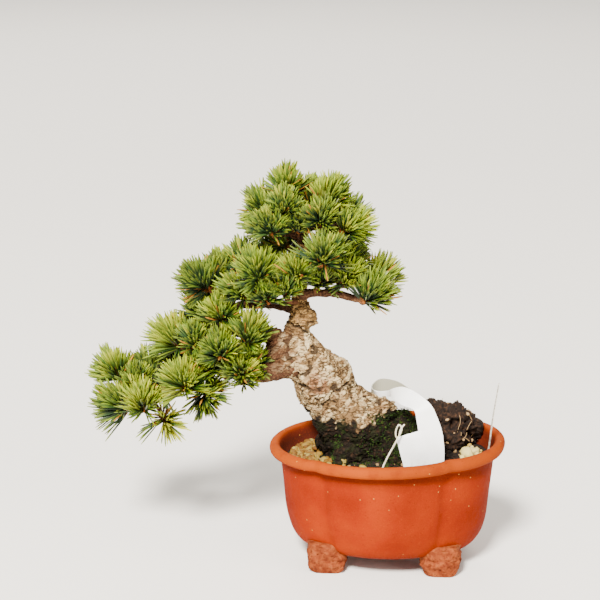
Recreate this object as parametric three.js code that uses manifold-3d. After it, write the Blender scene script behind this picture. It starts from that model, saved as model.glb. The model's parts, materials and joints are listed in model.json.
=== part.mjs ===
// A small Japanese white pine grown as a bonsai, in its unglazed pot of four lobes.
// Millimetres, +Z up. The tree leans to -X and the front is -Y.
// Everything is placed from the pot's centre on the table, and the group is moved at
// the end so that the middle of the whole object's underside is the origin.

import * as THREE from "three";
import { mergeVertices } from "three/addons/utils/BufferGeometryUtils.js";
import Module from "manifold-3d";

const wasm = await Module();
wasm.setup();

// Where one piece rests on or stands in another, this much room is left.
const GAP = 0.3;

// The pot's rim in plan: half its length, half its depth, and the front right crease.
const RIM_X = 70;
const RIM_Y = 56;
const CREASE_X = 41;
const CREASE_Y = 43;
const RIM_Z = 74.9;
const FRONT_STEPS = 8;
const END_STEPS = 6;

// The pot's wall, as steps of [inset from the rim's outline, height].
const OUTER_WALL = [
  [24, 11.5],
  [18.7, 12.5],
  [14.8, 16.5],
  [11.8, 23],
  [9.6, 32],
  [8.1, 46],
  [6.8, 61],
  [6.1, 67.6],
  [1.8, 67.9],
  [0.3, 69.6],
  [0, 71.8],
  [1.2, 74.1],
  [3.6, RIM_Z],
];
const INNER_WALL = [
  [26, 16.5],
  [18, 19],
  [14, 32],
  [12.4, 57],
  [8.4, 65.5],
  [6.4, 73.4],
  [2.9, 75.3],
];

// The rim warped in the kiln: it climbs to the right by this much at its end, and falls
// as far at the left. Below the level where the warp starts the wall is true.
const WARP = { rise: 2.6, from: 50 };
const DRAIN = { radius: 8, sides: 20, top: 20 };

// A foot's middle, its size and its levels, each as [height, share of the full size].
const FOOT = { x: 33.6, y: 25.5, wide: 23, deep: 17, corners: 10, blunt: 0.6, rough: 0.035 };
const FOOT_LEVELS = [
  [0, 0.88],
  [5, 1],
  [20, 0.94],
];
const SCREEN = { side: 24, thick: 1, bar: 2, cells: 2 };

// The soil: low at the left, higher at the right, mounded round the trunk.
const SOIL = { left: 62, right: 65.5, from: -22, to: 26, sag: 0.8 };
const SOIL_WALL = [16.8, 19.3, 32, 57];
const MOUND = { x: -15, y: 4, reach: 38, height: 5 };
const SOIL_RINGS = [0.78, 0.52, 0.26];

// The trunk's middle line as [x, y, z], with its radius at each point.
const TRUNK = [
  [-15, 5, 52, 21],
  [-15, 5, 63, 23.5],
  [-17, 4.5, 73, 23.5],
  [-19, 4, 82, 23.2],
  [-26, 3, 89, 19.6],
  [-33, 2, 98, 17.8],
  [-38, 1, 108, 17.8],
  [-44, 0, 117, 15],
  [-49, -1, 126, 12],
  [-53, -1, 136, 9],
  [-53, -1, 143, 7.2],
  [-50.5, -1, 149, 7.8],
  [-52.5, -1, 157, 5.3],
  [-52, -0.5, 164, 4.7],
  [-51.5, 0, 174, 4.2],
  [-50.5, 0, 190, 3.4],
  [-50.5, 0, 205, 2.7],
  [-54, 0, 214, 1.6],
];
const TRUNK_SIDES = 16;
const TRUNK_STEPS = 19;

// The bark's coarse plates: ribs round the trunk and bands along it. They are highest
// at the foot and fade with the trunk's age.
const BARK = { rib: 0.07, band: 0.05, bands: 58, fade: 1.25, youngest: 0.15 };

// Burrs, knobs and scars: short thick limbs, each as a line of [x, y, z, radius].
const BURRS = [
  [
    [-50, -2, 127, 10],
    [-60, -4, 129, 10.5],
    [-67, -5, 127, 8.5],
    [-70, -5, 121, 6],
  ],
  [
    [-60, -3, 122, 6],
    [-70, -3, 116, 7],
    [-79, -3, 114, 5.5],
    [-82, -3, 114, 3],
  ],
  [
    [-12, -4, 93, 6],
    [-2, -7, 96, 6.5],
    [3, -8, 95.5, 5.3],
    [5.5, -8, 94.5, 2.8],
  ],
  [
    [-49, -3, 126, 6],
    [-44, -4, 131, 4],
    [-42, -4, 134, 2],
  ],
  [
    [-50, 0, 146, 5],
    [-44, -2, 147, 3.4],
    [-42, -2, 147.5, 2],
  ],
];

// Surface roots that spread from the trunk's foot and run down into the soil.
const ROOTS = [
  [
    [-20, -4, 80, 7],
    [-24, -14, 71, 6],
    [-28, -20, 63, 4],
    [-30, -23, 57, 2.5],
  ],
  [
    [-4, -4, 80, 8],
    [4, -12, 71, 6],
    [9, -17, 63, 4],
    [11, -19, 57, 2.5],
  ],
  [
    [-2, 10, 78, 8],
    [10, 14, 71, 6],
    [18, 17, 64, 4],
    [21, 18, 57, 2.5],
  ],
  [
    [-28, 12, 78, 7],
    [-35, 18, 69, 5],
    [-38, 21, 61, 3.5],
    [-39, 22, 57, 2.5],
  ],
  [
    [-10, 2, 86, 9],
    [2, 2, 83, 10],
    [11, 3, 82, 9],
    [18, 5, 75, 7],
    [21, 6, 66, 5],
  ],
];
const ROOT_SIDES = 7;
const ROOT_STEPS = 4;

// The branches that carry the sprays, each as a line of [x, y, z, radius].
const BRANCHES = [
  [
    [-55, -6, 121, 8],
    [-77, -7, 117, 6],
    [-89, -6, 119.5, 4.6],
    [-102, -5, 117.5, 3.9],
    [-117, -4, 111, 3.2],
    [-132, -4, 103, 2.6],
    [-146, -4, 96, 2],
    [-153, -4, 94, 1.5],
  ],
  [
    [-60, -4, 130, 6],
    [-71, -2, 137, 4.6],
    [-84, 0, 138.5, 3.6],
    [-98, 1, 140, 2.8],
    [-110, 3, 136, 2.1],
    [-119, 4, 131, 1.5],
  ],
  [
    [-51, -3, 165, 3.6],
    [-62, -7, 168, 3],
    [-71, -7, 165, 2.7],
    [-80, -4, 161, 2.4],
    [-93, -1, 161.5, 1.9],
    [-102, 0, 164, 1.4],
  ],
  [
    [-51, 1, 151, 4],
    [-62, 8, 153, 3.2],
    [-76, 15, 152, 2.8],
    [-92, 20, 149, 2.2],
    [-104, 23, 141, 1.5],
  ],
  [
    [-51, -3, 163, 3.2],
    [-45, -5, 164.5, 2.8],
    [-32, -6, 165, 2.4],
    [-20, -7, 162.5, 2],
    [-15, -8, 161.5, 1.5],
  ],
  [
    [-36, -6, 165, 2.2],
    [-29, -1, 168, 1.8],
    [-20, 6, 168, 1.4],
  ],
  [
    [-51, -1, 197, 3],
    [-57, -3, 199.5, 2.4],
    [-64, -3, 200, 2.1],
    [-68, -2, 199.5, 1.5],
  ],
  [
    [-51, -1, 203, 2.6],
    [-43, -1, 203.5, 2.1],
    [-36, 0, 203, 1.5],
  ],
  [
    [-50.5, -1, 184, 3],
    [-47, -9, 186, 2.4],
    [-42, -16, 187, 1.6],
  ],
  [
    [-51, 1, 178, 3],
    [-52, 10, 180, 2.4],
    [-50, 19, 184, 1.6],
  ],
  [
    [-52, -2, 170, 3],
    [-59, -10, 173, 2.3],
    [-66, -15, 173, 1.6],
  ],
  [
    [-94, -6, 119, 3.4],
    [-106, 5, 115, 2.6],
    [-119, 13, 108, 2],
    [-131, 18, 101, 1.5],
  ],
  [
    [-104, -5, 117, 3],
    [-110, -12, 112, 2.2],
    [-114, -17, 108, 1.5],
  ],
];
const BRANCH_SIDES = 5;
const BURR_SIDES = 7;
const BURR_STEPS = 4;

// A twig joins each spray to the branch nearest to it.
const TWIG = { sides: 4, steps: 2, thick: 1.6, tip: 1.1, back: 9 };

// Each spray: [x, y, z] of the place its needles seem to spring from, the way it
// points, its needles' length and how many it has. Lean is how far from the shoot the
// outermost needles stand, in degrees.
const SPRAYS = [
  ["apex_spray_1", [-60, 0, 223], [0, 0, 1], 18, 17, 66],
  ["apex_spray_2", [-72, 6, 210], [-0.7, 0.2, 0.7], 19, 13, 66],
  ["apex_spray_3", [-60, -14, 215], [-0.1, -0.6, 0.9], 16, 13, 66],
  ["apex_spray_4", [-46, 9, 215], [0.2, 0.3, 1], 18, 13, 66],
  ["apex_spray_5", [-36, -4, 219], [0.6, -0.1, 0.8], 18, 13, 66],
  ["apex_spray_6", [-39, -19, 211], [0.1, -0.6, 0.8], 16, 13, 66],
  ["apex_spray_7", [-28, 9, 205], [0.8, 0.3, 0.5], 18, 13, 66],
  ["apex_spray_8", [-26, -9, 203], [0.9, -0.2, 0.3], 20, 13, 66],
  ["crown_spray_1", [-67, -20, 205], [-0.3, -0.6, 0.8], 16, 13, 66],
  ["crown_spray_2", [-73, 3, 201], [-0.9, 0.1, 0.2], 15, 13, 70],
  ["crown_spray_3", [-62, 22, 186], [-0.5, 0.8, 0.3], 17, 13, 66],
  ["crown_spray_4", [-37, -25, 189], [0.2, -0.5, 0.9], 20, 17, 85],
  ["crown_spray_5", [-28, 4, 181], [0.7, 0.1, 0.6], 20, 13, 66],
  ["crown_spray_6", [-55, 24, 203], [-0.1, 0.8, 0.6], 17, 13, 66],
  ["crown_spray_7", [-35, 24, 192], [0.5, 0.7, 0.5], 17, 13, 66],
  ["crown_spray_8", [-74, -20, 177], [-0.3, -0.4, 0.9], 20, 17, 85],
  ["crown_spray_9", [-56, 16, 170], [0.1, 0.5, 0.8], 16, 13, 66],
  ["crown_spray_10", [-72, 28, 174], [-0.6, 0.7, 0.4], 17, 13, 66],
  ["right_spray_1", [-12, -10, 163], [0.6, -0.2, 0.7], 20, 17, 80],
  ["right_spray_2", [-9, 13, 167], [0.6, 0.5, 0.6], 20, 13, 80],
  ["right_spray_3", [-28, 13, 172], [0.2, 0.6, 0.7], 16, 13, 66],
  ["upper_spray_1", [-84, -11, 164], [-0.6, -0.5, 0.6], 19, 13, 66],
  ["upper_spray_2", [-79, 13, 158], [-0.3, 0.5, 0.8], 16, 13, 66],
  ["upper_spray_3", [-87, 16, 174], [-0.3, 0.3, 0.9], 18, 13, 66],
  ["upper_spray_4", [-108, -2, 166], [-0.7, -0.1, 0.7], 20, 17, 80],
  ["upper_spray_5", [-101, 17, 168], [-0.3, 0.5, 0.8], 17, 13, 66],
  ["upper_spray_6", [-86, 29, 153], [-0.2, 0.9, 0.3], 17, 13, 66],
  ["middle_spray_1", [-108, 8, 146], [-0.7, 0.1, 0.7], 21, 13, 66],
  ["middle_spray_2", [-97, -15, 150], [-0.2, -0.4, 0.9], 17, 13, 66],
  ["middle_spray_3", [-81, -18, 139], [0.3, -0.4, 0.9], 20, 17, 60],
  ["middle_spray_4", [-96, -28, 133], [-0.1, -0.6, 0.8], 17, 13, 80],
  ["middle_spray_5", [-125, 0, 130], [-0.8, 0, 0.6], 22, 17, 66],
  ["middle_spray_6", [-121, 18, 127], [-0.4, 0.5, 0.8], 17, 13, 66],
  ["middle_spray_7", [-104, 27, 135], [-0.2, 0.7, 0.6], 17, 13, 66],
  ["middle_spray_8", [-112, 33, 116], [-0.2, 0.9, 0.2], 17, 13, 66],
  ["lower_spray_1", [-93, 12, 110], [0.4, 0.5, 0.5], 18, 13, 66],
  ["lower_spray_2", [-85, -21, 119], [-0.1, -0.7, 0.7], 16, 13, 70],
  ["lower_spray_3", [-118, -24, 111], [-0.1, -0.6, 0.9], 20, 17, 85],
  ["lower_spray_4", [-108, -12, 104], [0.3, -0.7, -0.1], 18, 13, 80],
  ["lower_spray_5", [-127, 14, 112], [-0.1, 0.4, 0.9], 16, 13, 66],
  ["lower_spray_6", [-162, 5, 107], [-0.7, 0.2, 0.7], 20, 17, 80],
  ["lower_spray_7", [-144, 11, 106], [-0.2, 0.3, 0.9], 18, 13, 66],
  ["lower_spray_8", [-156, -8, 92], [-0.8, -0.2, 0.4], 22, 17, 80],
  ["lower_spray_9", [-143, -19, 96], [-0.2, -0.6, 0.8], 20, 13, 80],
  ["lower_spray_10", [-133, -8, 86], [0.3, -0.8, -0.2], 20, 13, 95],
  ["lower_spray_11", [-140, 25, 93], [-0.4, 0.8, 0.1], 19, 13, 80],
];
const SHOOT = { below: 3, above: 6, thick: 1.5, taper: 0.35, sides: 4 };

// Needles: the size of the root and how deep it sits, the room round other pieces, the
// leans of the last and the upper ones in degrees, and how much they stray. The loose
// values are added bit by bit while a place is looked for. The upper needles are shorter.
const NEEDLE = {
  root: 0.52,
  sunk: 0.45,
  clear: 0.8,
  tries: 40,
  lastLean: 8,
  upperLean: 22,
  sway: 14,
  looseSway: 40,
  twist: 0.35,
  wobble: 0.7,
  looseWobble: 1.2,
  shortest: 0.92,
  longest: 1.08,
  looseCut: 0.12,
  upperCut: 0.22,
};

// The peat lump at the right, the gravel beds and their grains.
const LUMP = { x: 37.5, y: 18.6, z: 79, wide: 15.8, deep: 11.6, high: 15, detail: 2, rough: 0.16 };
const GRAVEL = [
  { name: "gravel_left", x: -48, y: 7, wide: 10, deep: 20, grain: 3.2, count: 7, colour: 0xcf9a4e },
  { name: "gravel_right", x: 50, y: 0, wide: 6, deep: 13, grain: 3.8, count: 5, colour: 0xe6d49a },
];
const BED = { height: 1.3, corners: 10, filled: 0.82, stand: 0.15 };

// The label, from its foot in the soil to the end of its tail: left and right edges,
// and how far the middle of the sheet bows towards the front.
const LABEL = [
  { left: [11.5, -30.5, 56], right: [34.5, -29, 56], bow: 0 },
  { left: [11.2, -30.5, 67], right: [34.5, -29, 67], bow: 0 },
  { left: [9, -30, 76], right: [34.6, -29, 78], bow: 1 },
  { left: [6.5, -29, 85.3], right: [33.6, -28.5, 87], bow: 1.2 },
  { left: [19.4, -29, 89.6], right: [32.4, -28, 92], bow: 0.6 },
  { left: [18.2, -28.5, 96], right: [30, -27.5, 98], bow: 0.3 },
  { left: [16.6, -27, 101.5], right: [26, -25.5, 105], bow: 0 },
  { left: [10, -21.5, 102.5], right: [17, -20, 110.5], bow: 0 },
  { left: [5.5, -15, 103], right: [9.4, -14, 111.5], bow: 0 },
  { left: [2.5, -7.5, 103.2], right: [3.2, -7.5, 108.2], bow: 0 },
  { left: [0.8, -1, 101], right: [-0.4, -1, 104.6], bow: 0 },
  { left: [-5.5, 4.5, 97.6], right: [-7, 4.5, 102.4], bow: 0 },
  { left: [-10.5, 14.5, 96.6], right: [-10.5, 14.5, 102.4], bow: 0 },
  { left: [-6, 20.5, 96.5], right: [-5.5, 20.5, 105.4], bow: 0 },
  { left: [3.5, 19.5, 96.5], right: [4.5, 19.5, 104.6], bow: 0 },
  { left: [12, 14, 95.5], right: [13, 14, 101.5], bow: 0 },
];
const LABEL_THICK = 0.7;

// The thin tie beside the label and the anchor wire's free end.
const TIE = [
  [-1.5, -34, 58],
  [-1.5, -34, 66],
  [1.5, -34, 74],
  [5, -33.5, 81],
  [8, -33, 87],
  [9.8, -32.5, 92],
];
const WIRE = [
  [56, -4, 56],
  [58.6, -4, 63],
  [60.6, -4, 72],
  [62.4, -4, 90],
  [65.5, -4, 112],
];
const THREAD = { radius: 0.5, sides: 5 };

const COLOURS = {
  clay: 0xb95a33,
  screen: 0x2f3330,
  soil: 0x241d18,
  peat: 0x3a2a20,
  bark: 0xa08c72,
  green: [0x5f8a3c, 0x7a9c3e, 0x4b7440],
  label: 0xf2f2ee,
  tie: 0xd9cfae,
  wire: 0xc9c6ba,
};

// A stream of repeatable numbers from 0 to 1.
function seeded(seed) {
  let state = seed >>> 0;
  return () => {
    state = (state + 0x6d2b79f5) >>> 0;
    let mixed = Math.imul(state ^ (state >>> 15), state | 1);
    mixed ^= mixed + Math.imul(mixed ^ (mixed >>> 7), mixed | 61);
    return ((mixed ^ (mixed >>> 14)) >>> 0) / 4294967296;
  };
}

// A smooth uneven value from about -1 to 1 at a place in space.
function unevenness(x, y, z) {
  const slow = Math.sin(x * 1.3 + z * 0.7) + Math.sin(y * 1.7 - z * 1.1 + 2);
  const quick = Math.sin(x * 3.1 - y * 2.3) * Math.cos(z * 2.7 + 1);
  return (slow + quick) / 3;
}

const START_SIDE = new THREE.Vector3(0.31, 0.87, 0.12);
const vector = ([x, y, z]) => new THREE.Vector3(x, y, z);

// A closed mesh as a solid that can be joined and cut.
function solidOf(geometry) {
  const bare = geometry.index ? geometry.clone() : geometry;
  bare.deleteAttribute("normal");
  bare.deleteAttribute("uv");
  const merged = mergeVertices(bare, 1e-4);
  return new wasm.Manifold(
    new wasm.Mesh({
      numProp: 3,
      vertProperties: new Float32Array(merged.attributes.position.array),
      triVerts: new Uint32Array(merged.index.array),
    }),
  );
}

function geometryOf(solid) {
  const { vertProperties, triVerts } = solid.getMesh();
  const geometry = new THREE.BufferGeometry();
  geometry.setAttribute("position", new THREE.BufferAttribute(vertProperties, 3));
  geometry.setIndex(new THREE.BufferAttribute(triVerts, 1));
  return geometry;
}

const joined = (solids) => solids.reduce((all, one) => all.add(one));

// A closed skin over rings of points, which run anticlockwise as seen from the last.
function skin(rings) {
  const size = rings[0].length;
  const middles = [rings[0], rings.at(-1)].map((ring) =>
    ring.reduce((sum, point) => sum.add(point), new THREE.Vector3()).divideScalar(size),
  );
  const points = [...rings.flat(), ...middles];
  const first = rings.length * size;
  const top = first - size;
  const faces = [];
  for (let i = 0; i < size; i++) {
    const next = (i + 1) % size;
    for (let row = 0; row < top; row += size) {
      faces.push(row + i, row + next, row + size + next);
      faces.push(row + i, row + size + next, row + size + i);
    }
    faces.push(first, next, i, first + 1, top + i, top + next);
  }
  const geometry = new THREE.BufferGeometry().setFromPoints(points);
  geometry.setIndex(faces);
  return geometry;
}

// The pot's outline in plan at an inset from the rim: four arcs that meet in creases.
function mokko(inset, z) {
  const bulgeFront = RIM_Y - CREASE_Y;
  const frontRadius = (CREASE_X ** 2 + bulgeFront ** 2) / (2 * bulgeFront);
  const bulgeEnd = RIM_X - CREASE_X;
  const endRadius = (CREASE_Y ** 2 + bulgeEnd ** 2) / (2 * bulgeEnd);
  const frontCentre = RIM_Y - frontRadius;
  const endCentre = RIM_X - endRadius;
  const front = frontRadius - inset;
  const end = endRadius - inset;
  // The two circles cross at this crease, in the quarter where x and y are positive.
  const apart = Math.hypot(endCentre, frontCentre);
  const along = (front ** 2 - end ** 2 + apart ** 2) / (2 * apart);
  const across = Math.sqrt(front ** 2 - along ** 2);
  const creaseX = (along * endCentre - across * frontCentre) / apart;
  const creaseY = frontCentre - (along * frontCentre + across * -endCentre) / apart;
  const endTurn = Math.atan2(creaseY, creaseX - endCentre);
  const frontTurn = Math.atan2(creaseX, creaseY - frontCentre);
  const points = [];
  const arc = (centreX, centreY, radius, middle, half, steps) => {
    for (let i = 0; i < steps; i++) {
      const turn = middle - half + (2 * half * i) / steps;
      const x = centreX + radius * Math.cos(turn);
      const y = centreY + radius * Math.sin(turn);
      points.push(new THREE.Vector3(x, y, z));
    }
  };
  arc(endCentre, 0, end, 0, endTurn, END_STEPS);
  arc(0, frontCentre, front, Math.PI / 2, frontTurn, FRONT_STEPS);
  arc(-endCentre, 0, end, Math.PI, endTurn, END_STEPS);
  arc(0, -frontCentre, front, -Math.PI / 2, frontTurn, FRONT_STEPS);
  return points;
}

// How far the warp lifts the pot's wall at a place.
function lift(x, z) {
  return ((WARP.rise * x) / RIM_X) * THREE.MathUtils.smoothstep(z, WARP.from, RIM_Z);
}

// The pot's wall: its outline at each step, warped.
function wall(steps) {
  const rings = steps.map(([inset, z]) => mokko(inset, z));
  for (const point of rings.flat()) {
    point.z += lift(point.x, point.z);
  }
  return solidOf(skin(rings));
}

// A box between two corners.
function block([lowX, lowY, lowZ], [highX, highY, highZ]) {
  const box = new THREE.BoxGeometry(highX - lowX, highY - lowY, highZ - lowZ);
  return box.translate((lowX + highX) / 2, (lowY + highY) / 2, (lowZ + highZ) / 2);
}

// A limb of round section along a smooth line of [x, y, z, radius]. Swell changes the
// radius round and along it, and extra widens and lengthens it all over.
function limb(line, sides, steps, { extra = 0, swell = () => 1 } = {}) {
  const curve = new THREE.CatmullRomCurve3(line.map(vector));
  const at = (t) => curve.getPoint(t);
  const heading = (t) => curve.getTangent(t);
  return sweep(at, heading, (t) => radiusAt(line, t), sides, steps, { extra, swell });
}

// The radius part of the way along a line of [x, y, z, radius].
function radiusAt(line, t) {
  const at = t * (line.length - 1);
  const step = Math.min(Math.floor(at), line.length - 2);
  return THREE.MathUtils.lerp(line[step][3], line[step + 1][3], at - step);
}

// Two directions square to an axis and to each other.
function sidesOf(axis) {
  const side = START_SIDE.clone().addScaledVector(axis, -START_SIDE.dot(axis)).normalize();
  return { side, other: axis.clone().cross(side) };
}

// Rings square to a path, with no twist between one and the next.
function sweep(pointAt, tangentAt, thickness, sides, steps, { extra = 0, swell = () => 1 } = {}) {
  const rings = [];
  let normal = START_SIDE;
  for (let i = 0; i <= steps; i++) {
    const t = i / steps;
    const tangent = tangentAt(t).normalize();
    normal = normal.clone().addScaledVector(tangent, -normal.dot(tangent)).normalize();
    const binormal = tangent.clone().cross(normal);
    const ends = i === 0 ? -extra : i === steps ? extra : 0;
    const centre = pointAt(t).clone().addScaledVector(tangent, ends);
    const ring = [];
    for (let side = 0; side < sides; side++) {
      const turn = (2 * Math.PI * side) / sides;
      const reach = thickness(t) * swell(t, turn) + extra;
      ring.push(
        centre
          .clone()
          .addScaledVector(normal, Math.cos(turn) * reach)
          .addScaledVector(binormal, Math.sin(turn) * reach),
      );
    }
    rings.push(ring);
  }
  return skin(rings);
}

// The trunk swells and sinks in coarse plates, more at its old foot than at its top.
function barkSwell(t, turn) {
  const age = Math.max(BARK.youngest, 1 - BARK.fade * t);
  const ribs = Math.sin(turn * 3 + t * 9) + Math.sin(turn * 5 - t * 23 + 1);
  const bands = Math.sin(t * BARK.bands + Math.sin(turn * 2) * 2);
  return 1 + age * (ribs * BARK.rib + bands * BARK.band);
}

// The trunk's foot and its roots, which the soil has to leave room for.
function foot(extra) {
  const stem = limb(TRUNK, TRUNK_SIDES, TRUNK_STEPS, { extra, swell: barkSwell });
  const roots = ROOTS.map((line) => solidOf(limb(line, ROOT_SIDES, ROOT_STEPS, { extra })));
  return joined([solidOf(stem), ...roots]);
}

// The lines that other pieces keep clear of: [start, end, radius, owner].
const taken = [];

function take(line, owner) {
  for (let i = 0; i + 1 < line.length; i++) {
    const radius = Math.max(line[i].radius, line[i + 1].radius);
    taken.push({ start: line[i].point, end: line[i + 1].point, radius, owner });
  }
}

// Points along a line of [x, y, z, radius], for clearances and for twigs to start at.
function sample(line, steps) {
  const curve = new THREE.CatmullRomCurve3(line.map(vector));
  const points = [];
  for (let i = 0; i <= steps; i++) {
    points.push({ point: curve.getPoint(i / steps), radius: radiusAt(line, i / steps) });
  }
  return points;
}

// The least distance between two straight stretches.
function between(startA, endA, startB, endB) {
  const alongA = endA.clone().sub(startA);
  const alongB = endB.clone().sub(startB);
  const apart = startA.clone().sub(startB);
  const a = alongA.lengthSq();
  const b = alongB.lengthSq();
  const mixed = alongA.dot(alongB);
  const c = alongA.dot(apart);
  const d = alongB.dot(apart);
  const bottom = a * b - mixed * mixed;
  const clamp = (value) => THREE.MathUtils.clamp(value, 0, 1);
  let s = bottom > 1e-9 ? clamp((mixed * d - c * b) / bottom) : 0;
  const t = clamp((mixed * s + d) / b);
  s = clamp((mixed * t - c) / a);
  const onA = startA.clone().addScaledVector(alongA, s);
  return onA.distanceTo(startB.clone().addScaledVector(alongB, t));
}

// A spray's place and direction, worked out from its line in the table.
function shootOf([name, at, aim, length, count, lean]) {
  const axis = vector(aim).normalize();
  const base = vector(at).addScaledVector(axis, -SHOOT.below);
  const tip = vector(at).addScaledVector(axis, SHOOT.above);
  return { name, axis, base, tip, length, count, lean, needles: [] };
}

// The twig from the nearest branch to a shoot, which ends just short of it.
function twigFor(shoot, perches) {
  const wanted = shoot.base.clone().addScaledVector(shoot.axis, -TWIG.back);
  const nearest = perches.reduce((best, perch) =>
    perch.point.distanceTo(wanted) < best.point.distanceTo(wanted) ? perch : best,
  );
  const end = shoot.base.clone().addScaledVector(shoot.axis, -GAP);
  const length = end.distanceTo(nearest.point);
  const curve = new THREE.CubicBezierCurve3(
    nearest.point,
    nearest.point.clone().lerp(end, 0.35),
    end.clone().addScaledVector(shoot.axis, -0.4 * length),
    end,
  );
  const thick = Math.min(TWIG.thick, nearest.radius * 0.8);
  return { curve, thickness: (t) => THREE.MathUtils.lerp(thick, TWIG.tip, t) };
}

function twigSolid({ curve, thickness }) {
  const at = (t) => curve.getPoint(t);
  const heading = (t) => curve.getTangent(t);
  return solidOf(sweep(at, heading, thickness, TWIG.sides, TWIG.steps));
}

// One needle: three flat sides that run from its root to a point.
function needle(root, tip) {
  const along = tip.clone().sub(root).normalize();
  const { side, other } = sidesOf(along);
  const corners = [0, 1, 2].map((i) => {
    const turn = (2 * Math.PI * i) / 3;
    return root
      .clone()
      .addScaledVector(side, Math.cos(turn) * NEEDLE.root)
      .addScaledVector(other, Math.sin(turn) * NEEDLE.root);
  });
  const geometry = new THREE.BufferGeometry().setFromPoints([...corners, tip]);
  geometry.setIndex([0, 2, 1, 0, 1, 3, 1, 2, 3, 2, 0, 3]);
  return geometry;
}

// True if a needle keeps clear of all that doesn't belong to its own spray.
function isClear(root, tip, owner) {
  return taken.every(
    (other) =>
      other.owner === owner ||
      between(root, tip, other.start, other.end) > other.radius + NEEDLE.clear,
  );
}

// Adds a shoot's next needle. They stand in rows up the shoot, one on each of its flat
// sides, and the last one at its tip. The lower rows lean out further, and one that
// would cross another spray is turned aside.
function growNeedle(shoot, index, random) {
  const last = index === shoot.count - 1;
  const row = Math.floor(index / SHOOT.sides);
  const rows = Math.ceil((shoot.count - 1) / SHOOT.sides);
  const up = last ? 1 : (row + 0.3 + 0.15 * (index % SHOOT.sides)) / rows;
  const { side, other } = sidesOf(shoot.axis);
  const face = (2 * Math.PI * (index % SHOOT.sides) + Math.PI) / SHOOT.sides;
  for (let attempt = 0; attempt < NEEDLE.tries; attempt++) {
    const loose = attempt / NEEDLE.tries;
    const wobble = NEEDLE.wobble + NEEDLE.looseWobble * loose;
    const twist = (row % 2 ? NEEDLE.twist : -NEEDLE.twist) + (random() - 0.5) * wobble;
    const upper = THREE.MathUtils.lerp(shoot.lean, NEEDLE.upperLean, up ** 0.8);
    const sway = (random() - 0.5) * (NEEDLE.sway + NEEDLE.looseSway * loose);
    const lean = THREE.MathUtils.degToRad((last ? NEEDLE.lastLean : upper) + sway);
    const outAt = (turn) =>
      side.clone().multiplyScalar(Math.cos(turn)).addScaledVector(other, Math.sin(turn));
    const heading = outAt(face + twist)
      .multiplyScalar(Math.sin(lean))
      .addScaledVector(shoot.axis, Math.cos(lean));
    const root = shoot.base
      .clone()
      .lerp(shoot.tip, last ? 0.9 : THREE.MathUtils.lerp(0.25, 0.86, up))
      .addScaledVector(outAt(face), last ? 0 : NEEDLE.sunk);
    const share = THREE.MathUtils.lerp(NEEDLE.shortest, NEEDLE.longest, random());
    const cut = (1 - NEEDLE.looseCut * loose) * (1 - NEEDLE.upperCut * up);
    const length = shoot.length * share * cut;
    const tip = root.clone().addScaledVector(heading, length);
    if (isClear(root, tip, shoot.name)) {
      shoot.needles.push({ root, tip });
      taken.push({ start: root, end: tip, radius: 0, owner: shoot.name });
      return;
    }
  }
}

function spraySolid(shoot) {
  const at = (t) => shoot.base.clone().lerp(shoot.tip, t);
  const heading = () => shoot.axis.clone();
  const thickness = (t) => SHOOT.thick * (1 - SHOOT.taper * t);
  const core = solidOf(sweep(at, heading, thickness, SHOOT.sides, 1));
  return joined([core, ...shoot.needles.map(({ root, tip }) => solidOf(needle(root, tip)))]);
}

// The soil's height at a place in plan.
function soilHeight(x, y) {
  const level = THREE.MathUtils.lerp(
    SOIL.left,
    SOIL.right,
    THREE.MathUtils.smoothstep(x, SOIL.from, SOIL.to),
  );
  const away = Math.hypot(x - MOUND.x, y - MOUND.y) / MOUND.reach;
  return level + MOUND.height * Math.max(0, 1 - away * away) ** 2;
}

// How far in the pot's inner wall stands at a height, between two of its steps.
function innerInset(z) {
  const step = INNER_WALL.findIndex(([, top]) => top > z);
  const [lowInset, low] = INNER_WALL[step - 1];
  const [highInset, high] = INNER_WALL[step];
  return THREE.MathUtils.mapLinear(z, low, high, lowInset, highInset);
}

function potSolid() {
  const outer = wall(OUTER_WALL);
  const inner = wall(INNER_WALL);
  const drain = new THREE.CylinderGeometry(DRAIN.radius, DRAIN.radius, DRAIN.top, DRAIN.sides);
  drain.rotateX(Math.PI / 2).translate(0, 0, DRAIN.top / 2);
  const feet = [];
  for (const signX of [-1, 1]) {
    for (const signY of [-1, 1]) {
      feet.push(solidOf(footGeometry(signX, signY)));
    }
  }
  return joined([outer, ...feet]).subtract(inner).subtract(solidOf(drain));
}

// One rough foot: a squat cushion, narrower at the table, with a flat sole.
function footGeometry(signX, signY) {
  const blunt = (value) => Math.sign(value) * Math.abs(value) ** FOOT.blunt;
  return skin(
    FOOT_LEVELS.map(([z, share]) => {
      const ring = [];
      for (let i = 0; i < FOOT.corners; i++) {
        const turn = (2 * Math.PI * i) / FOOT.corners;
        const uneven = Math.sin(i * 2.3 + z * 0.6 + signX + 2 * signY);
        const scale = share * (1 + FOOT.rough * uneven);
        const x = (FOOT.wide / 2) * blunt(Math.cos(turn)) * scale;
        const y = (FOOT.deep / 2) * blunt(Math.sin(turn)) * scale;
        ring.push(new THREE.Vector3(signX * FOOT.x + x, signY * FOOT.y + y, z));
      }
      return ring;
    }),
  );
}

// The drain screen: a square plate with a grid of square holes.
function screenSolid() {
  const half = SCREEN.side / 2;
  const low = floorTop() + GAP;
  const high = low + SCREEN.thick;
  const pitch = (SCREEN.side - SCREEN.bar) / SCREEN.cells;
  let plate = solidOf(block([-half, -half, low], [half, half, high]));
  for (let row = 0; row < SCREEN.cells; row++) {
    for (let column = 0; column < SCREEN.cells; column++) {
      const x = -half + SCREEN.bar + column * pitch;
      const y = -half + SCREEN.bar + row * pitch;
      const size = pitch - SCREEN.bar;
      plate = plate.subtract(solidOf(block([x, y, low - 1], [x + size, y + size, high + 1])));
    }
  }
  return plate;
}

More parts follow.
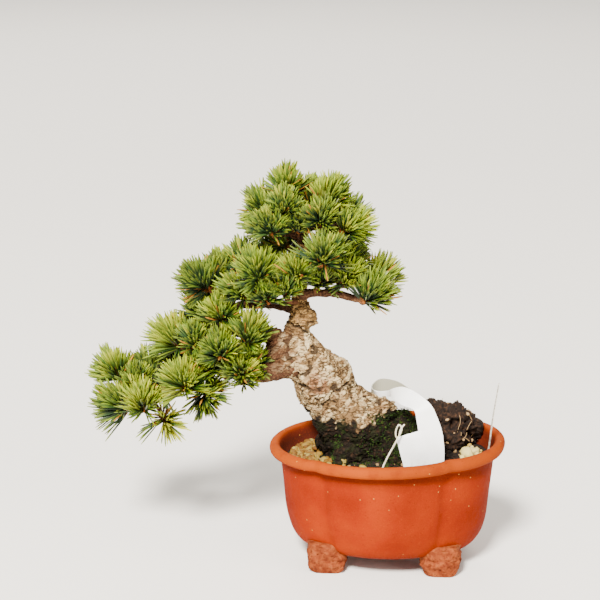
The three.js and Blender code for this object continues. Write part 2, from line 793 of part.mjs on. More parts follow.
const floorTop = () => INNER_WALL[0][1];

// The soil fills the pot, with its top following soilHeight.
function soilBody() {
  const rings = SOIL_WALL.map((z) => mokko(innerInset(z) + GAP, z));
  const brim = mokko(innerInset(SOIL.left) + GAP, 0).map((point, i) => {
    const z = soilHeight(point.x, point.y) - SOIL.sag;
    return mokko(innerInset(z - lift(point.x, z)) + GAP, z)[i];
  });
  rings.push(brim);
  for (const scale of SOIL_RINGS) {
    rings.push(
      brim.map((point) => {
        const x = THREE.MathUtils.lerp(MOUND.x, point.x, scale);
        const y = THREE.MathUtils.lerp(MOUND.y, point.y, scale);
        return new THREE.Vector3(x, y, soilHeight(x, y));
      }),
    );
  }
  return solidOf(skin(rings));
}

// A strip with a front and a back, over stations that give its two edges and its bow.
function strip(stations, thick, widen = 0) {
  const rings = stations.map((station, i) => {
    const left = vector(station.left);
    const right = vector(station.right);
    const across = right.clone().sub(left).normalize();
    left.addScaledVector(across, -widen);
    right.addScaledVector(across, widen);
    const before = stations[Math.max(i - 1, 0)];
    const after = stations[Math.min(i + 1, stations.length - 1)];
    const run = vector(after.right).sub(vector(before.right));
    const front = across.clone().cross(run).normalize();
    const middle = left.clone().lerp(right, 0.5).addScaledVector(front, station.bow);
    const shift = (point, by) => point.clone().addScaledVector(front, by);
    const edge = [left, middle, right];
    return [
      ...edge.map((point) => shift(point, thick / 2)),
      ...edge.reverse().map((point) => shift(point, -thick / 2)),
    ];
  });
  return skin(rings);
}

// A thin thread along a smooth line of [x, y, z].
function thread(line, extra = 0) {
  const curve = new THREE.CatmullRomCurve3(line.map(vector));
  const at = (t) => curve.getPoint(t);
  const heading = (t) => curve.getTangent(t);
  return sweep(at, heading, () => THREAD.radius, THREAD.sides, line.length, { extra });
}

// Grains standing out of a thin bed that lies on the soil.
function gravelSolid({ x, y, wide, deep, grain, count }, ground, seed) {
  const random = seeded(seed);
  const spotAt = (away, turn) => {
    const px = x + wide * away * Math.cos(turn);
    const py = y + deep * away * Math.sin(turn);
    return new THREE.Vector3(px, py, soilHeight(px, py));
  };
  const edge = [];
  for (let i = 0; i < BED.corners; i++) {
    edge.push(spotAt(1 + 0.08 * Math.sin(i * 2.1), (2 * Math.PI * i) / BED.corners));
  }
  const lifted = (by) => edge.map((point) => point.clone().setZ(point.z + by));
  const solids = [solidOf(skin([lifted(-BED.height), lifted(BED.height)]))];
  const goldenTurn = Math.PI * (3 - Math.sqrt(5));
  for (let i = 0; i < count; i++) {
    const spot = spotAt(Math.sqrt((i + 0.5) / count) * BED.filled, i * goldenTurn);
    const stone = new THREE.OctahedronGeometry(grain * (0.9 + 0.4 * random()));
    stone.rotateX(random() * 3).rotateZ(random() * 3);
    stone.scale(1 + 0.3 * random(), 1, 0.8);
    stone.translate(spot.x, spot.y, spot.z + BED.height + grain * BED.stand);
    solids.push(solidOf(stone));
  }
  const room = skin(INNER_WALL.map(([inset, z]) => mokko(inset + GAP, z)));
  return joined(solids).subtract(ground).intersect(solidOf(room));
}

// The peat lump: a clod with an uneven skin, flat where it sits on the soil.
function lumpSolid(ground) {
  const clod = new THREE.IcosahedronGeometry(1, LUMP.detail);
  const place = clod.attributes.position;
  for (let i = 0; i < place.count; i++) {
    const at = new THREE.Vector3().fromBufferAttribute(place, i);
    const reach = 1 + LUMP.rough * unevenness(at.x * 3, at.y * 3, at.z * 3);
    place.setXYZ(i, at.x * LUMP.wide * reach, at.y * LUMP.deep * reach, at.z * LUMP.high * reach);
  }
  return solidOf(clod.translate(LUMP.x, LUMP.y, LUMP.z)).subtract(ground);
}

const bonsai = new THREE.Group();

function addPiece(name, geometry, color, roughness = 0.9) {
  const material = new THREE.MeshStandardMaterial({ color, roughness, metalness: 0 });
  const mesh = new THREE.Mesh(geometry, material);
  mesh.name = name;
  bonsai.add(mesh);
}

// The tree: trunk, roots, burrs, branches and twigs are one grown piece.
const branchSteps = (line) => line.length - 1;
const perches = [
  ...sample(TRUNK.slice(10), 24),
  ...BRANCHES.flatMap((line) => sample(line.slice(1), 24)),
];
const shoots = SPRAYS.map(shootOf);
const twigs = shoots.map((shoot) => twigFor(shoot, perches));
const wood = joined([
  foot(0),
  ...BURRS.map((line) => solidOf(limb(line, BURR_SIDES, BURR_STEPS))),
  ...BRANCHES.map((line) => solidOf(limb(line, BRANCH_SIDES, branchSteps(line)))),
  ...twigs.map(twigSolid),
]);

// Everything the needles keep clear of, then the needles, one from each spray in turn.
for (const line of [TRUNK, ...BURRS, ...BRANCHES]) {
  take(sample(line, line.length * 2), "wood");
}
for (const { curve, thickness } of twigs) {
  const steps = [0, 0.25, 0.5, 0.75, 1];
  take(
    steps.map((t) => ({ point: curve.getPoint(t), radius: thickness(t) })),
    "wood",
  );
}
for (const shoot of shoots) {
  const ends = [shoot.base, shoot.tip];
  take(
    ends.map((point) => ({ point, radius: SHOOT.thick })),
    shoot.name,
  );
}
const mostNeedles = Math.max(...shoots.map(({ count }) => count));
const draw = seeded(7);
for (let index = 0; index < mostNeedles; index++) {
  for (const shoot of shoots) {
    if (index < shoot.count) {
      growNeedle(shoot, index, draw);
    }
  }
}

// The ground, with plain holes for what stands in it.
const holes = [
  foot(GAP),
  solidOf(strip(LABEL.slice(0, 2), LABEL_THICK + 2 * GAP, GAP)),
  solidOf(thread(TIE, GAP)),
  solidOf(thread(WIRE, GAP)),
];
const screenRoom = SCREEN.side / 2 + GAP;
const screenTop = floorTop() + SCREEN.thick + 2 * GAP;
const recess = block([-screenRoom, -screenRoom, 0], [screenRoom, screenRoom, screenTop]);
const soil = holes.reduce((body, hole) => body.subtract(hole), soilBody().subtract(solidOf(recess)));
const ground = joined([soilBody(), soilBody().translate([0, 0, GAP]), foot(GAP)]);

addPiece("pot", geometryOf(potSolid()), COLOURS.clay, 0.8);
addPiece("drain_screen", geometryOf(screenSolid()), COLOURS.screen, 0.6);
addPiece("soil", geometryOf(soil), COLOURS.soil, 1);
GRAVEL.forEach((bed, i) => {
  addPiece(bed.name, geometryOf(gravelSolid(bed, ground, 11 + i)), bed.colour);
});
addPiece("peat_lump", geometryOf(lumpSolid(ground)), COLOURS.peat, 1);
addPiece("wood", geometryOf(wood), COLOURS.bark);
addPiece("label", strip(LABEL, LABEL_THICK), COLOURS.label, 0.5);
addPiece("label_tie", thread(TIE), COLOURS.tie, 0.7);
addPiece("anchor_wire", thread(WIRE), COLOURS.wire, 0.5);
shoots.forEach((shoot, i) => {
  const green = COLOURS.green[i % COLOURS.green.length];
  addPiece(shoot.name, geometryOf(spraySolid(shoot)), green, 0.7);
});

// The middle of the whole object's underside becomes the origin.
const extent = new THREE.Box3().setFromObject(bonsai);
const middle = extent.getCenter(new THREE.Vector3());
bonsai.position.set(-middle.x, -middle.y, -extent.min.z);

export default bonsai;
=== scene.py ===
"""The looks of a small white pine bonsai in its pot of four lobes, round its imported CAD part."""

import json
import math
import random

import bmesh
import bpy
import numpy as np
from mathutils import Matrix, Vector, noise

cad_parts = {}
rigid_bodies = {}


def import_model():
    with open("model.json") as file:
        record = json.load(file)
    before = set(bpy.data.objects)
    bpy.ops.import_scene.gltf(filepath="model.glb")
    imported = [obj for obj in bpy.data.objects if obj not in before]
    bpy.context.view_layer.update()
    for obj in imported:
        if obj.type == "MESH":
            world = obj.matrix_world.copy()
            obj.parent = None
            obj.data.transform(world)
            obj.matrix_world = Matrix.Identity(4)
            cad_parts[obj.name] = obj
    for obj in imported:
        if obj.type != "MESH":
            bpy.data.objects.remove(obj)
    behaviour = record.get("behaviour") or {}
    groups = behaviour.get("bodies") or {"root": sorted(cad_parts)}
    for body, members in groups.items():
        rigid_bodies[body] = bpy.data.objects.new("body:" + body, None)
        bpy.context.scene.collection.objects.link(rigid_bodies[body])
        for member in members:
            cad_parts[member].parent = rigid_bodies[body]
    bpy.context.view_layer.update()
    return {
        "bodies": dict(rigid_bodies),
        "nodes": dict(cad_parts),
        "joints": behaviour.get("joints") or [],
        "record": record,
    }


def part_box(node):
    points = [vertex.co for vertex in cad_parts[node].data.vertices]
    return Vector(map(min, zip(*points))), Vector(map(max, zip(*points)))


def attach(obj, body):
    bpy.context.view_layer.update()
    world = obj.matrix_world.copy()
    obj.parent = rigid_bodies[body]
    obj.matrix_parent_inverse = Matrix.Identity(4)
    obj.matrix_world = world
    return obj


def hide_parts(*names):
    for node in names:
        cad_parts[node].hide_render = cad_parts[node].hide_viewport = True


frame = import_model()

# Unseeded, the vector noise starts from the clock and gives another trunk at each run.
noise.seed_set(4)

# Sizes are in millimetres from the pot's centre on the table, as in the CAD source.
# Finished meshes are moved to the frame's place and to metres.
POT_LOW, POT_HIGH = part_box("pot")
PLACE = Matrix.Translation(((POT_LOW.x + POT_HIGH.x) / 2, 0, 0)) @ Matrix.Scale(0.001, 4)
GOLDEN_TURN = math.pi * (3 - math.sqrt(5))

# The pot's rim in plan, and its front right crease with the groove that runs down it.
RIM_X = 70
RIM_Y = 56
CREASE_X = 41
CREASE_Y = 43
CREASE_SOFTNESS = 0.4
CREASE_GROOVE = {"deep": 1.2, "wide": 3.6}
DRAIN_RADIUS = 8

# The rim warped in the kiln: it climbs to the right by this much at its end.
WARP = {"rise": 2.6, "from": 50}
RIM_Z = 74.9

# The pot's section, once round from the drain hole's lower edge to its upper one, as
# [inset from the rim's outline, height].
POT_SECTION = [
    [30, 11.2],
    [24, 11.5],
    [18.7, 12.5],
    [14.8, 16.5],
    [11.8, 23],
    [9.6, 32],
    [8.1, 46],
    [6.8, 61],
    [6.3, 66.2],
    [5.5, 67.5],
    [3, 67.7],
    [1.2, 68.5],
    [0.2, 70],
    [0, 71.8],
    [0.5, 73.4],
    [1.7, 74.5],
    [3.2, RIM_Z],
    [4.8, 74.5],
    [6, 73.4],
    [6.9, 71],
    [8.4, 65.5],
    [11.2, 60],
    [12.5, 56],
    [14, 32],
    [18, 19],
    [26, 16.5],
]
CROWN_STEP = POT_SECTION.index([3.2, RIM_Z])
INNER_WALL_STEPS = 6

# One foot's middle, its size and how blunt its corners are, and its shape upwards from
# the table as [height, share of its full size].
FOOT = {"x": 33.6, "y": 25.5, "wide": 23, "deep": 17, "blunt": 0.6}
FOOT_LEVELS = [
    [0, 0],
    [0, 0.5],
    [0, 0.72],
    [0.6, 0.79],
    [2.2, 0.86],
    [5, 0.95],
    [8, 1],
    [11, 1.01],
    [14, 0.98],
    [17, 0.95],
    [19, 0.8],
    [19, 0],
]

# The soil: low at the left, higher at the right, mounded round the trunk.
SOIL = {"left": 62, "right": 65.5, "from": -22, "to": 26, "floor": 17}
MOUND = {"x": -15, "y": 4, "reach": 38, "height": 5}
SOIL_GRAINS = 1200

# Trunk, burrs, roots and branches, each as a line of [x, y, z, radius].
TRUNK = [
    [-15, 5, 52, 21],
    [-15, 5, 63, 23.5],
    [-17, 4.5, 73, 23.5],
    [-19, 4, 82, 23.2],
    [-26, 3, 89, 19.6],
    [-33, 2, 98, 17.8],
    [-38, 1, 108, 17.8],
    [-44, 0, 117, 15],
    [-49, -1, 126, 12],
    [-53, -1, 136, 9],
    [-53, -1, 143, 7.2],
    [-50.5, -1, 149, 7.8],
    [-52.5, -1, 157, 5.3],
    [-52, -0.5, 164, 4.7],
    [-51.5, 0, 174, 4.2],
    [-50.5, 0, 190, 3.4],
    [-50.5, 0, 205, 2.7],
    [-54, 0, 214, 1.6],
]
BURRS = [
    [[-50, -2, 127, 10], [-60, -4, 129, 10.5], [-67, -5, 127, 8.5], [-70, -5, 121, 6]],
    [[-60, -3, 122, 6], [-70, -3, 116, 7], [-79, -3, 114, 5.5], [-82, -3, 114, 3]],
    [[-12, -4, 93, 6], [-2, -7, 96, 6.5], [3, -8, 95.5, 5.3], [5.5, -8, 94.5, 2.8]],
    [[-49, -3, 126, 6], [-44, -4, 131, 4], [-42, -4, 134, 2]],
    [[-50, 0, 146, 5], [-44, -2, 147, 3.4], [-42, -2, 147.5, 2]],
]
ROOTS = [
    [[-20, -4, 80, 7], [-24, -14, 71, 6], [-28, -20, 63, 4], [-30, -23, 57, 2.5]],
    [[-4, -4, 80, 8], [4, -12, 71, 6], [9, -17, 63, 4], [11, -19, 57, 2.5]],
    [[-2, 10, 78, 8], [10, 14, 71, 6], [18, 17, 64, 4], [21, 18, 57, 2.5]],
    [[-28, 12, 78, 7], [-35, 18, 69, 5], [-38, 21, 61, 3.5], [-39, 22, 57, 2.5]],
    [[-10, 2, 86, 9], [2, 2, 83, 10], [11, 3, 82, 9], [18, 5, 75, 7], [21, 6, 66, 5]],
]
BRANCHES = [
    [
        [-55, -6, 121, 8], [-77, -7, 117, 6], [-89, -6, 119.5, 4.6], [-102, -5, 117.5, 3.9],
        [-117, -4, 111, 3.2], [-132, -4, 103, 2.6], [-146, -4, 96, 2], [-153, -4, 94, 1.5],
    ],
    [
        [-60, -4, 130, 6], [-71, -2, 137, 4.6], [-84, 0, 138.5, 3.6], [-98, 1, 140, 2.8],
        [-110, 3, 136, 2.1], [-119, 4, 131, 1.5],
    ],
    [
        [-51, -3, 165, 3.6], [-62, -7, 168, 3], [-71, -7, 165, 2.7], [-80, -4, 161, 2.4],
        [-93, -1, 161.5, 1.9], [-102, 0, 164, 1.4],
    ],
    [
        [-51, 1, 151, 4], [-62, 8, 153, 3.2], [-76, 15, 152, 2.8], [-92, 20, 149, 2.2],
        [-104, 23, 141, 1.5],
    ],
    [
        [-51, -3, 163, 3.2], [-45, -5, 164.5, 2.8], [-32, -6, 165, 2.4], [-20, -7, 162.5, 2],
        [-15, -8, 161.5, 1.5],
    ],
    [[-36, -6, 165, 2.2], [-29, -1, 168, 1.8], [-20, 6, 168, 1.4]],
    [[-51, -1, 197, 3], [-57, -3, 199.5, 2.4], [-64, -3, 200, 2.1], [-68, -2, 199.5, 1.5]],
    [[-51, -1, 203, 2.6], [-43, -1, 203.5, 2.1], [-36, 0, 203, 1.5]],
    [[-50.5, -1, 184, 3], [-47, -9, 186, 2.4], [-42, -16, 187, 1.6]],
    [[-51, 1, 178, 3], [-52, 10, 180, 2.4], [-50, 19, 184, 1.6]],
    [[-52, -2, 170, 3], [-59, -10, 173, 2.3], [-66, -15, 173, 1.6]],
    [[-94, -6, 119, 3.4], [-106, 5, 115, 2.6], [-119, 13, 108, 2], [-131, 18, 101, 1.5]],
    [[-104, -5, 117, 3], [-110, -12, 112, 2.2], [-114, -17, 108, 1.5]],
]

# A twig's radius at the branch and at its shoot, and how far behind the shoot it starts.
TWIG = {"thick": 1.6, "tip": 1.1, "back": 9}

# The heights between which the trunk's old bark gives way to its golden neck, and the
# places across between which the dark burr at the left begins.
NECK = (138, 150)
BURR_EDGE = (-64, -54)

# The size of the small faces that a skin over overlapping parts is made of.
TRUNK_SKIN = 0.62
PEAT_SKIN = 0.75

# Scars on the trunk, as [x, y, z, radius, depth].
SCARS = [
    [-71, -12, 124, 6, 1.4],
    [-40, -18, 112, 7.5, 0.4],
    [-30, -20, 104, 4, 0.3],
]

# Each spray of needles: its name, where its needles seem to spring from, the way it
# points, its needles' length, its CAD count and how far the outermost lean, in degrees.
SPRAYS = [
    ["apex_spray_1", [-60, 0, 223], [0, 0, 1], 18, 17, 66],
    ["apex_spray_2", [-72, 6, 210], [-0.7, 0.2, 0.7], 19, 13, 66],
    ["apex_spray_3", [-60, -14, 215], [-0.1, -0.6, 0.9], 16, 13, 66],
    ["apex_spray_4", [-46, 9, 215], [0.2, 0.3, 1], 18, 13, 66],
    ["apex_spray_5", [-36, -4, 219], [0.6, -0.1, 0.8], 18, 13, 66],
    ["apex_spray_6", [-39, -19, 211], [0.1, -0.6, 0.8], 16, 13, 66],
    ["apex_spray_7", [-28, 9, 205], [0.8, 0.3, 0.5], 18, 13, 66],
    ["apex_spray_8", [-26, -9, 203], [0.9, -0.2, 0.3], 20, 13, 66],
    ["crown_spray_1", [-67, -20, 205], [-0.3, -0.6, 0.8], 16, 13, 66],
    ["crown_spray_2", [-73, 3, 201], [-0.9, 0.1, 0.2], 15, 13, 70],
    ["crown_spray_3", [-62, 22, 186], [-0.5, 0.8, 0.3], 17, 13, 66],
    ["crown_spray_4", [-37, -25, 189], [0.2, -0.5, 0.9], 20, 17, 85],
    ["crown_spray_5", [-28, 4, 181], [0.7, 0.1, 0.6], 20, 13, 66],
    ["crown_spray_6", [-55, 24, 203], [-0.1, 0.8, 0.6], 17, 13, 66],
    ["crown_spray_7", [-35, 24, 192], [0.5, 0.7, 0.5], 17, 13, 66],
    ["crown_spray_8", [-74, -20, 177], [-0.3, -0.4, 0.9], 20, 17, 85],
    ["crown_spray_9", [-56, 16, 170], [0.1, 0.5, 0.8], 16, 13, 66],
    ["crown_spray_10", [-72, 28, 174], [-0.6, 0.7, 0.4], 17, 13, 66],
    ["right_spray_1", [-12, -10, 163], [0.6, -0.2, 0.7], 20, 17, 80],
    ["right_spray_2", [-9, 13, 167], [0.6, 0.5, 0.6], 20, 13, 80],
    ["right_spray_3", [-28, 13, 172], [0.2, 0.6, 0.7], 16, 13, 66],
    ["upper_spray_1", [-84, -11, 164], [-0.6, -0.5, 0.6], 19, 13, 66],
    ["upper_spray_2", [-79, 13, 158], [-0.3, 0.5, 0.8], 16, 13, 66],
    ["upper_spray_3", [-87, 16, 174], [-0.3, 0.3, 0.9], 18, 13, 66],
    ["upper_spray_4", [-108, -2, 166], [-0.7, -0.1, 0.7], 20, 17, 80],
    ["upper_spray_5", [-101, 17, 168], [-0.3, 0.5, 0.8], 17, 13, 66],
    ["upper_spray_6", [-86, 29, 153], [-0.2, 0.9, 0.3], 17, 13, 66],
    ["middle_spray_1", [-108, 8, 146], [-0.7, 0.1, 0.7], 21, 13, 66],
    ["middle_spray_2", [-97, -15, 150], [-0.2, -0.4, 0.9], 17, 13, 66],
    ["middle_spray_3", [-81, -18, 139], [0.3, -0.4, 0.9], 20, 17, 60],
    ["middle_spray_4", [-96, -28, 133], [-0.1, -0.6, 0.8], 17, 13, 80],
    ["middle_spray_5", [-125, 0, 130], [-0.8, 0, 0.6], 22, 17, 66],
    ["middle_spray_6", [-121, 18, 127], [-0.4, 0.5, 0.8], 17, 13, 66],
    ["middle_spray_7", [-104, 27, 135], [-0.2, 0.7, 0.6], 17, 13, 66],
    ["middle_spray_8", [-112, 33, 116], [-0.2, 0.9, 0.2], 17, 13, 66],
    ["lower_spray_1", [-93, 12, 110], [0.4, 0.5, 0.5], 18, 13, 66],
    ["lower_spray_2", [-85, -21, 119], [-0.1, -0.7, 0.7], 16, 13, 70],
    ["lower_spray_3", [-118, -24, 111], [-0.1, -0.6, 0.9], 20, 17, 85],
    ["lower_spray_4", [-108, -12, 104], [0.3, -0.7, -0.1], 18, 13, 80],
    ["lower_spray_5", [-127, 14, 112], [-0.1, 0.4, 0.9], 16, 13, 66],
    ["lower_spray_6", [-162, 5, 107], [-0.7, 0.2, 0.7], 20, 17, 80],
    ["lower_spray_7", [-144, 11, 106], [-0.2, 0.3, 0.9], 18, 13, 66],
    ["lower_spray_8", [-156, -8, 92], [-0.8, -0.2, 0.4], 22, 17, 80],
    ["lower_spray_9", [-143, -19, 96], [-0.2, -0.6, 0.8], 20, 13, 80],
    ["lower_spray_10", [-133, -8, 86], [0.3, -0.8, -0.2], 20, 13, 95],
    ["lower_spray_11", [-140, 25, 93], [-0.4, 0.8, 0.1], 19, 13, 80],
]

# A shoot reaches this far below and above where its needles seem to spring from, and its
# three side shoots are this long.
SHOOT = {"below": 3, "above": 6, "side": 7}
SIDE_SHOOTS = 3

# Needles grow in bundles of five. A shoot whose needles lean past this angle hangs and is sparse.
NEEDLES_A_BUNDLE = 5
HANGING_LEAN = 90
BUNDLES = {"sparse": 18, "plain": 25, "full": 34, "side": 10}

# Small shoots between the sprays, written like the sprays. They replace no node of their own.
FILLS = [
    ["", [-52, -18, 177], [0, -0.5, 0.9], 18, 13, 66],
    ["", [-60, -16, 168], [-0.1, -0.5, 0.9], 17, 13, 66],
    ["", [-70, -17, 163], [-0.2, -0.6, 0.7], 16, 13, 66],
    ["", [-40, -11, 172], [0.3, -0.4, 0.8], 16, 13, 66],
    ["", [-25, -8, 173], [0.3, -0.5, 0.7], 16, 13, 66],
    ["", [-52, -12, 205], [0, -0.4, 0.9], 15, 13, 66],
    ["", [-80, -14, 124], [0, -0.5, 0.8], 15, 13, 66],
    ["", [-83, -14, 113], [0.2, -0.6, 0.6], 14, 13, 66],
    ["", [-112, -12, 134], [-0.1, -0.5, 0.9], 16, 13, 66],
    ["", [-106, -16, 120], [0, -0.5, 0.9], 16, 13, 66],
    ["", [-149, -6, 106], [0, -0.3, 1], 15, 13, 66],
]

# The folds in the front of the trunk, each as points [x, z] and a width.
FOLDS = [
    [[[-58, 141], [-59.5, 130], [-57, 119.5]], 2.6],
    [[[-59, 147], [-52, 143], [-44, 141]], 2.2],
    [[[-55, 110.5], [-45, 108.5], [-37, 109], [-28, 110.5], [-18, 113]], 2.8],
    [[[-21, 108.5], [-12, 106.5], [-7, 103], [-4, 97], [-6, 92]], 2.4],
    [[[-43, 134], [-44, 125], [-46, 119], [-53, 115]], 2.2],
]

# Gravel beds, as [x, y, half width, half depth].
GOLDEN_BED = [-48, 7, 12, 22]
FRONT_BED = [-34, -18, 12, 7]
PALE_BED = [50, 0, 7, 14]

# Single pebbles in the golden and in the pale gravel, as [x, y, radius].
PEBBLES = [[-25.5, -20, 3.6], [-13, -27, 2.6], [-29, -22, 2.1], [-33, -20, 2]]
PALE_PEBBLES = [[48, -4, 4.2], [52, 0.5, 3.2], [54.5, -5, 2.2], [45, -8, 1.8]]

# The balls that the peat lump is worked from, as [x, y, z, radius].
CLOD = [
    [28, 18, 84, 10.5],
    [37, 16, 82.5, 10],
    [45, 18, 79, 9],
    [33, 24, 79, 10],
    [43, 25, 77, 9],
    [25, 15, 75, 7],
    [50.5, 20, 78, 4.6],
    [38, 14, 73, 11],
    [48, 22, 71, 7],
]
PEAT_FOOT = 62

# Moss grows on the trunk's foot between these heights and to the right of this place.
MOSS_ON_TRUNK = {"low": 63, "high": 94, "left": -42}
MOSS_TRIES = 2600

# Stations up the label's body and along its tail: the left and right edge, and how far
# the sheet bows to the front between them. The body has the first four.
LABEL = [
    {"left": [11.5, -30.5, 56], "right": [34.5, -29, 56], "bow": 0},
    {"left": [11.2, -30.5, 67], "right": [34.5, -29, 67], "bow": 0},
    {"left": [9, -30, 76], "right": [34.6, -29, 78], "bow": 1},
    {"left": [6.5, -29, 85.3], "right": [33.6, -28.5, 87], "bow": 1.2},
    {"left": [19.4, -29, 89.6], "right": [32.4, -28, 92], "bow": 0.6},
    {"left": [18.2, -28.5, 96], "right": [30, -27.5, 98], "bow": 0.3},
    {"left": [16.6, -27, 101.5], "right": [26, -25.5, 105], "bow": 0},
    {"left": [10, -21.5, 102.5], "right": [17, -20, 110.5], "bow": 0},
    {"left": [5.5, -15, 103], "right": [9.4, -14, 111.5], "bow": 0},
    {"left": [2.5, -7.5, 103.2], "right": [3.2, -7.5, 108.2], "bow": 0},
    {"left": [0.8, -1, 101], "right": [-0.4, -1, 104.6], "bow": 0},
    {"left": [-5.5, 4.5, 97.6], "right": [-7, 4.5, 102.4], "bow": 0},
    {"left": [-10.5, 14.5, 96.6], "right": [-10.5, 14.5, 102.4], "bow": 0},
    {"left": [-6, 20.5, 96.5], "right": [-5.5, 20.5, 105.4], "bow": 0},
    {"left": [3.5, 19.5, 96.5], "right": [4.5, 19.5, 104.6], "bow": 0},
    {"left": [12, 14, 95.5], "right": [13, 14, 101.5], "bow": 0},
]
LABEL_THICK = 0.7
BODY_STATIONS = 4

# The tie from the soil up, and the two turns of its loop with their radius.
TIE = [
    [-1.5, -34, 58],
    [-1.5, -34, 66],
    [1.5, -34, 74],
    [5, -33.5, 81],
    [8, -33, 87],
    [9.8, -32.5, 92],
]
TIE_RADIUS = 0.5
TIE_LOOP = [
    [8.2, -33.2, 94.5, 0.42],
    [6.6, -33.4, 91.5, 0.42],
    [6.4, -33.4, 88, 0.42],
    [7.2, -33.2, 86.5, 0.42],
]
TIE_SECOND_TURN = [
    [8.4, -33, 88.5, 0.4],
    [9.4, -32.8, 92, 0.42],
    [11.3, -32.6, 94.6, 0.4],
]

# The anchor wire from the soil up, which thins towards its end.
WIRE = [
    [56, -4, 56, 0.62],
    [58.6, -4, 63, 0.62],
    [60.6, -4, 72, 0.6],
    [62.4, -4, 90, 0.45],
    [65.5, -4, 112, 0.32],
]

# The studio's lights, in metres and watts.
LIGHTS = [
    ("key", (-0.45, -2.6, 2.5), 0.7, 540),
    ("fill", (2.6, -1.6, 1.3), 1.6, 62),
    ("back", (-0.6, 2.4, 1.8), 1.5, 50),
]
LIT_PLACE = (0.02, 0, 0.12)
SKY_STRENGTH = 0.78
FLOOR_SIZE = 14

# The photograph's view: the camera's turn and height in degrees, its distance, the
# field it takes in, and where the pot's centre at rim height stands in the image.
VIEW = {"turn": 5, "height": 15, "away": 1200, "field": 358, "size": 600}
RIM_CENTRE_IN_VIEW = (387, 438)


def paint(red, green, blue):
    """A colour as the shader wants it, from its 0 to 255 values on a screen."""
    values = [value / 255 for value in (red, green, blue)]
    return (*[v / 12.92 if v < 0.04 else ((v + 0.055) / 1.055) ** 2.4 for v in values], 1)


def between(low, high, share):
    return low + (high - low) * share


def eased(value, low, high):
    """From 0 at low to 1 at high, with soft ends."""
    share = min(max((value - low) / (high - low), 0), 1)
    return share * share * (3 - 2 * share)


# Materials


class Field:
    """What a node gives out. Arithmetic on it adds Math nodes."""

    def __init__(self, finish, socket):
        self.finish = finish
        self.socket = socket

    def calc(self, operation, *values):
        return self.finish.node(
            "ShaderNodeMath", {"operation": operation}, dict(enumerate(values))
        )

    def __add__(self, other):
        return self.calc("ADD", self, other)

    __radd__ = __add__

    def __sub__(self, other):
        return self.calc("SUBTRACT", self, other)

    def __rsub__(self, other):
        return self.calc("SUBTRACT", other, self)

    def __mul__(self, other):
        return self.calc("MULTIPLY", self, other)

    __rmul__ = __mul__

    def __abs__(self):
        return self.calc("ABSOLUTE", self)

    def step(self, low, high):
        """From 0 at low to 1 at high, with soft ends."""
        settings = {"interpolation_type": "SMOOTHSTEP"}
        inputs = {"Value": self, "From Min": low, "From Max": high}
        return self.finish.node("ShaderNodeMapRange", settings, inputs)


class Finish:
    """A material. What is the same all over it is set on the shader's own sockets."""

    def __init__(self, name, **constants):
        self.material = bpy.data.materials.new(name)
        self.material.use_nodes = True
        self.tree = self.material.node_tree
        self.shader = self.tree.nodes["Principled BSDF"]
        for socket, value in constants.items():
            self.feed(self.shader.inputs[socket.replace("_", " ")], value)
        place = self.node("ShaderNodeTexCoord", output="Object")
        scaling = {"operation": "SCALE"}
        self.place = self.node("ShaderNodeVectorMath", scaling, {0: place, "Scale": 1000})

    def feed(self, socket, value):
        if isinstance(value, Field):
            self.tree.links.new(value.socket, socket)
        else:
            socket.default_value = value

    def node(self, kind, settings=None, inputs=None, output=0):
        made = self.tree.nodes.new(kind)
        for name, value in (settings or {}).items():
            if name == "stops":
                elements = made.color_ramp.elements
                for position, _ in value[2:]:
                    elements.new(position)
                for element, (position, colour) in zip(elements, value, strict=True):
                    element.position = position
                    element.color = colour
            else:
                setattr(made, name, value)
        for key, value in (inputs or {}).items():
            self.feed(made.inputs[key], value)
        return Field(self, made.outputs[output])

    def stretched(self, x, y, z):
        """The place in millimetres, stretched along each axis."""
        inputs = {"Vector": self.place, "Scale": (x, y, z)}
        return self.node("ShaderNodeMapping", {}, inputs)

    def speckle(self, size, detail=2, roughness=0.5, place=None):
        """A cloudy pattern from 0 to 1 with forms of about this size in millimetres."""
        inputs = {"Vector": place or self.place, "Scale": 1 / size}
        inputs.update({"Detail": detail, "Roughness": roughness})
        return self.node("ShaderNodeTexNoise", {}, inputs)

    def cells(self, size, feature="F1", place=None):
        """The distance to the middle or the edge of cells of about this size in millimetres."""
        inputs = {"Vector": place or self.place, "Scale": 1 / size}
        return self.node("ShaderNodeTexVoronoi", {"feature": feature}, inputs, "Distance")

    def carried(self, name):
        """A number that the mesh carries."""
        return self.node("ShaderNodeAttribute", {"attribute_name": name}, output="Fac")

    def across(self, axis):
        return self.node("ShaderNodeSeparateXYZ", {}, {0: self.place}, axis)

    def height(self):
        return self.across("Z")

    def mix(self, share, low, high):
        inputs = {0: share, 6: low, 7: high}
        return self.node("ShaderNodeMix", {"data_type": "RGBA"}, inputs, 2)

    def ramp(self, value, *stops):
        return self.node("ShaderNodeValToRGB", {"stops": stops}, {0: value}, "Color")

    def finished(self, colour, roughness, relief=None, depth=0.3):
        """Joins the colour, roughness and relief; the depth is in millimetres."""
        self.feed(self.shader.inputs["Base Color"], colour)
        self.feed(self.shader.inputs["Roughness"], roughness)
        if relief:
            inputs = {"Height": relief, "Distance": depth / 1000, "Strength": 1}
            self.feed(self.shader.inputs["Normal"], self.node("ShaderNodeBump", {}, inputs))
        return self.material


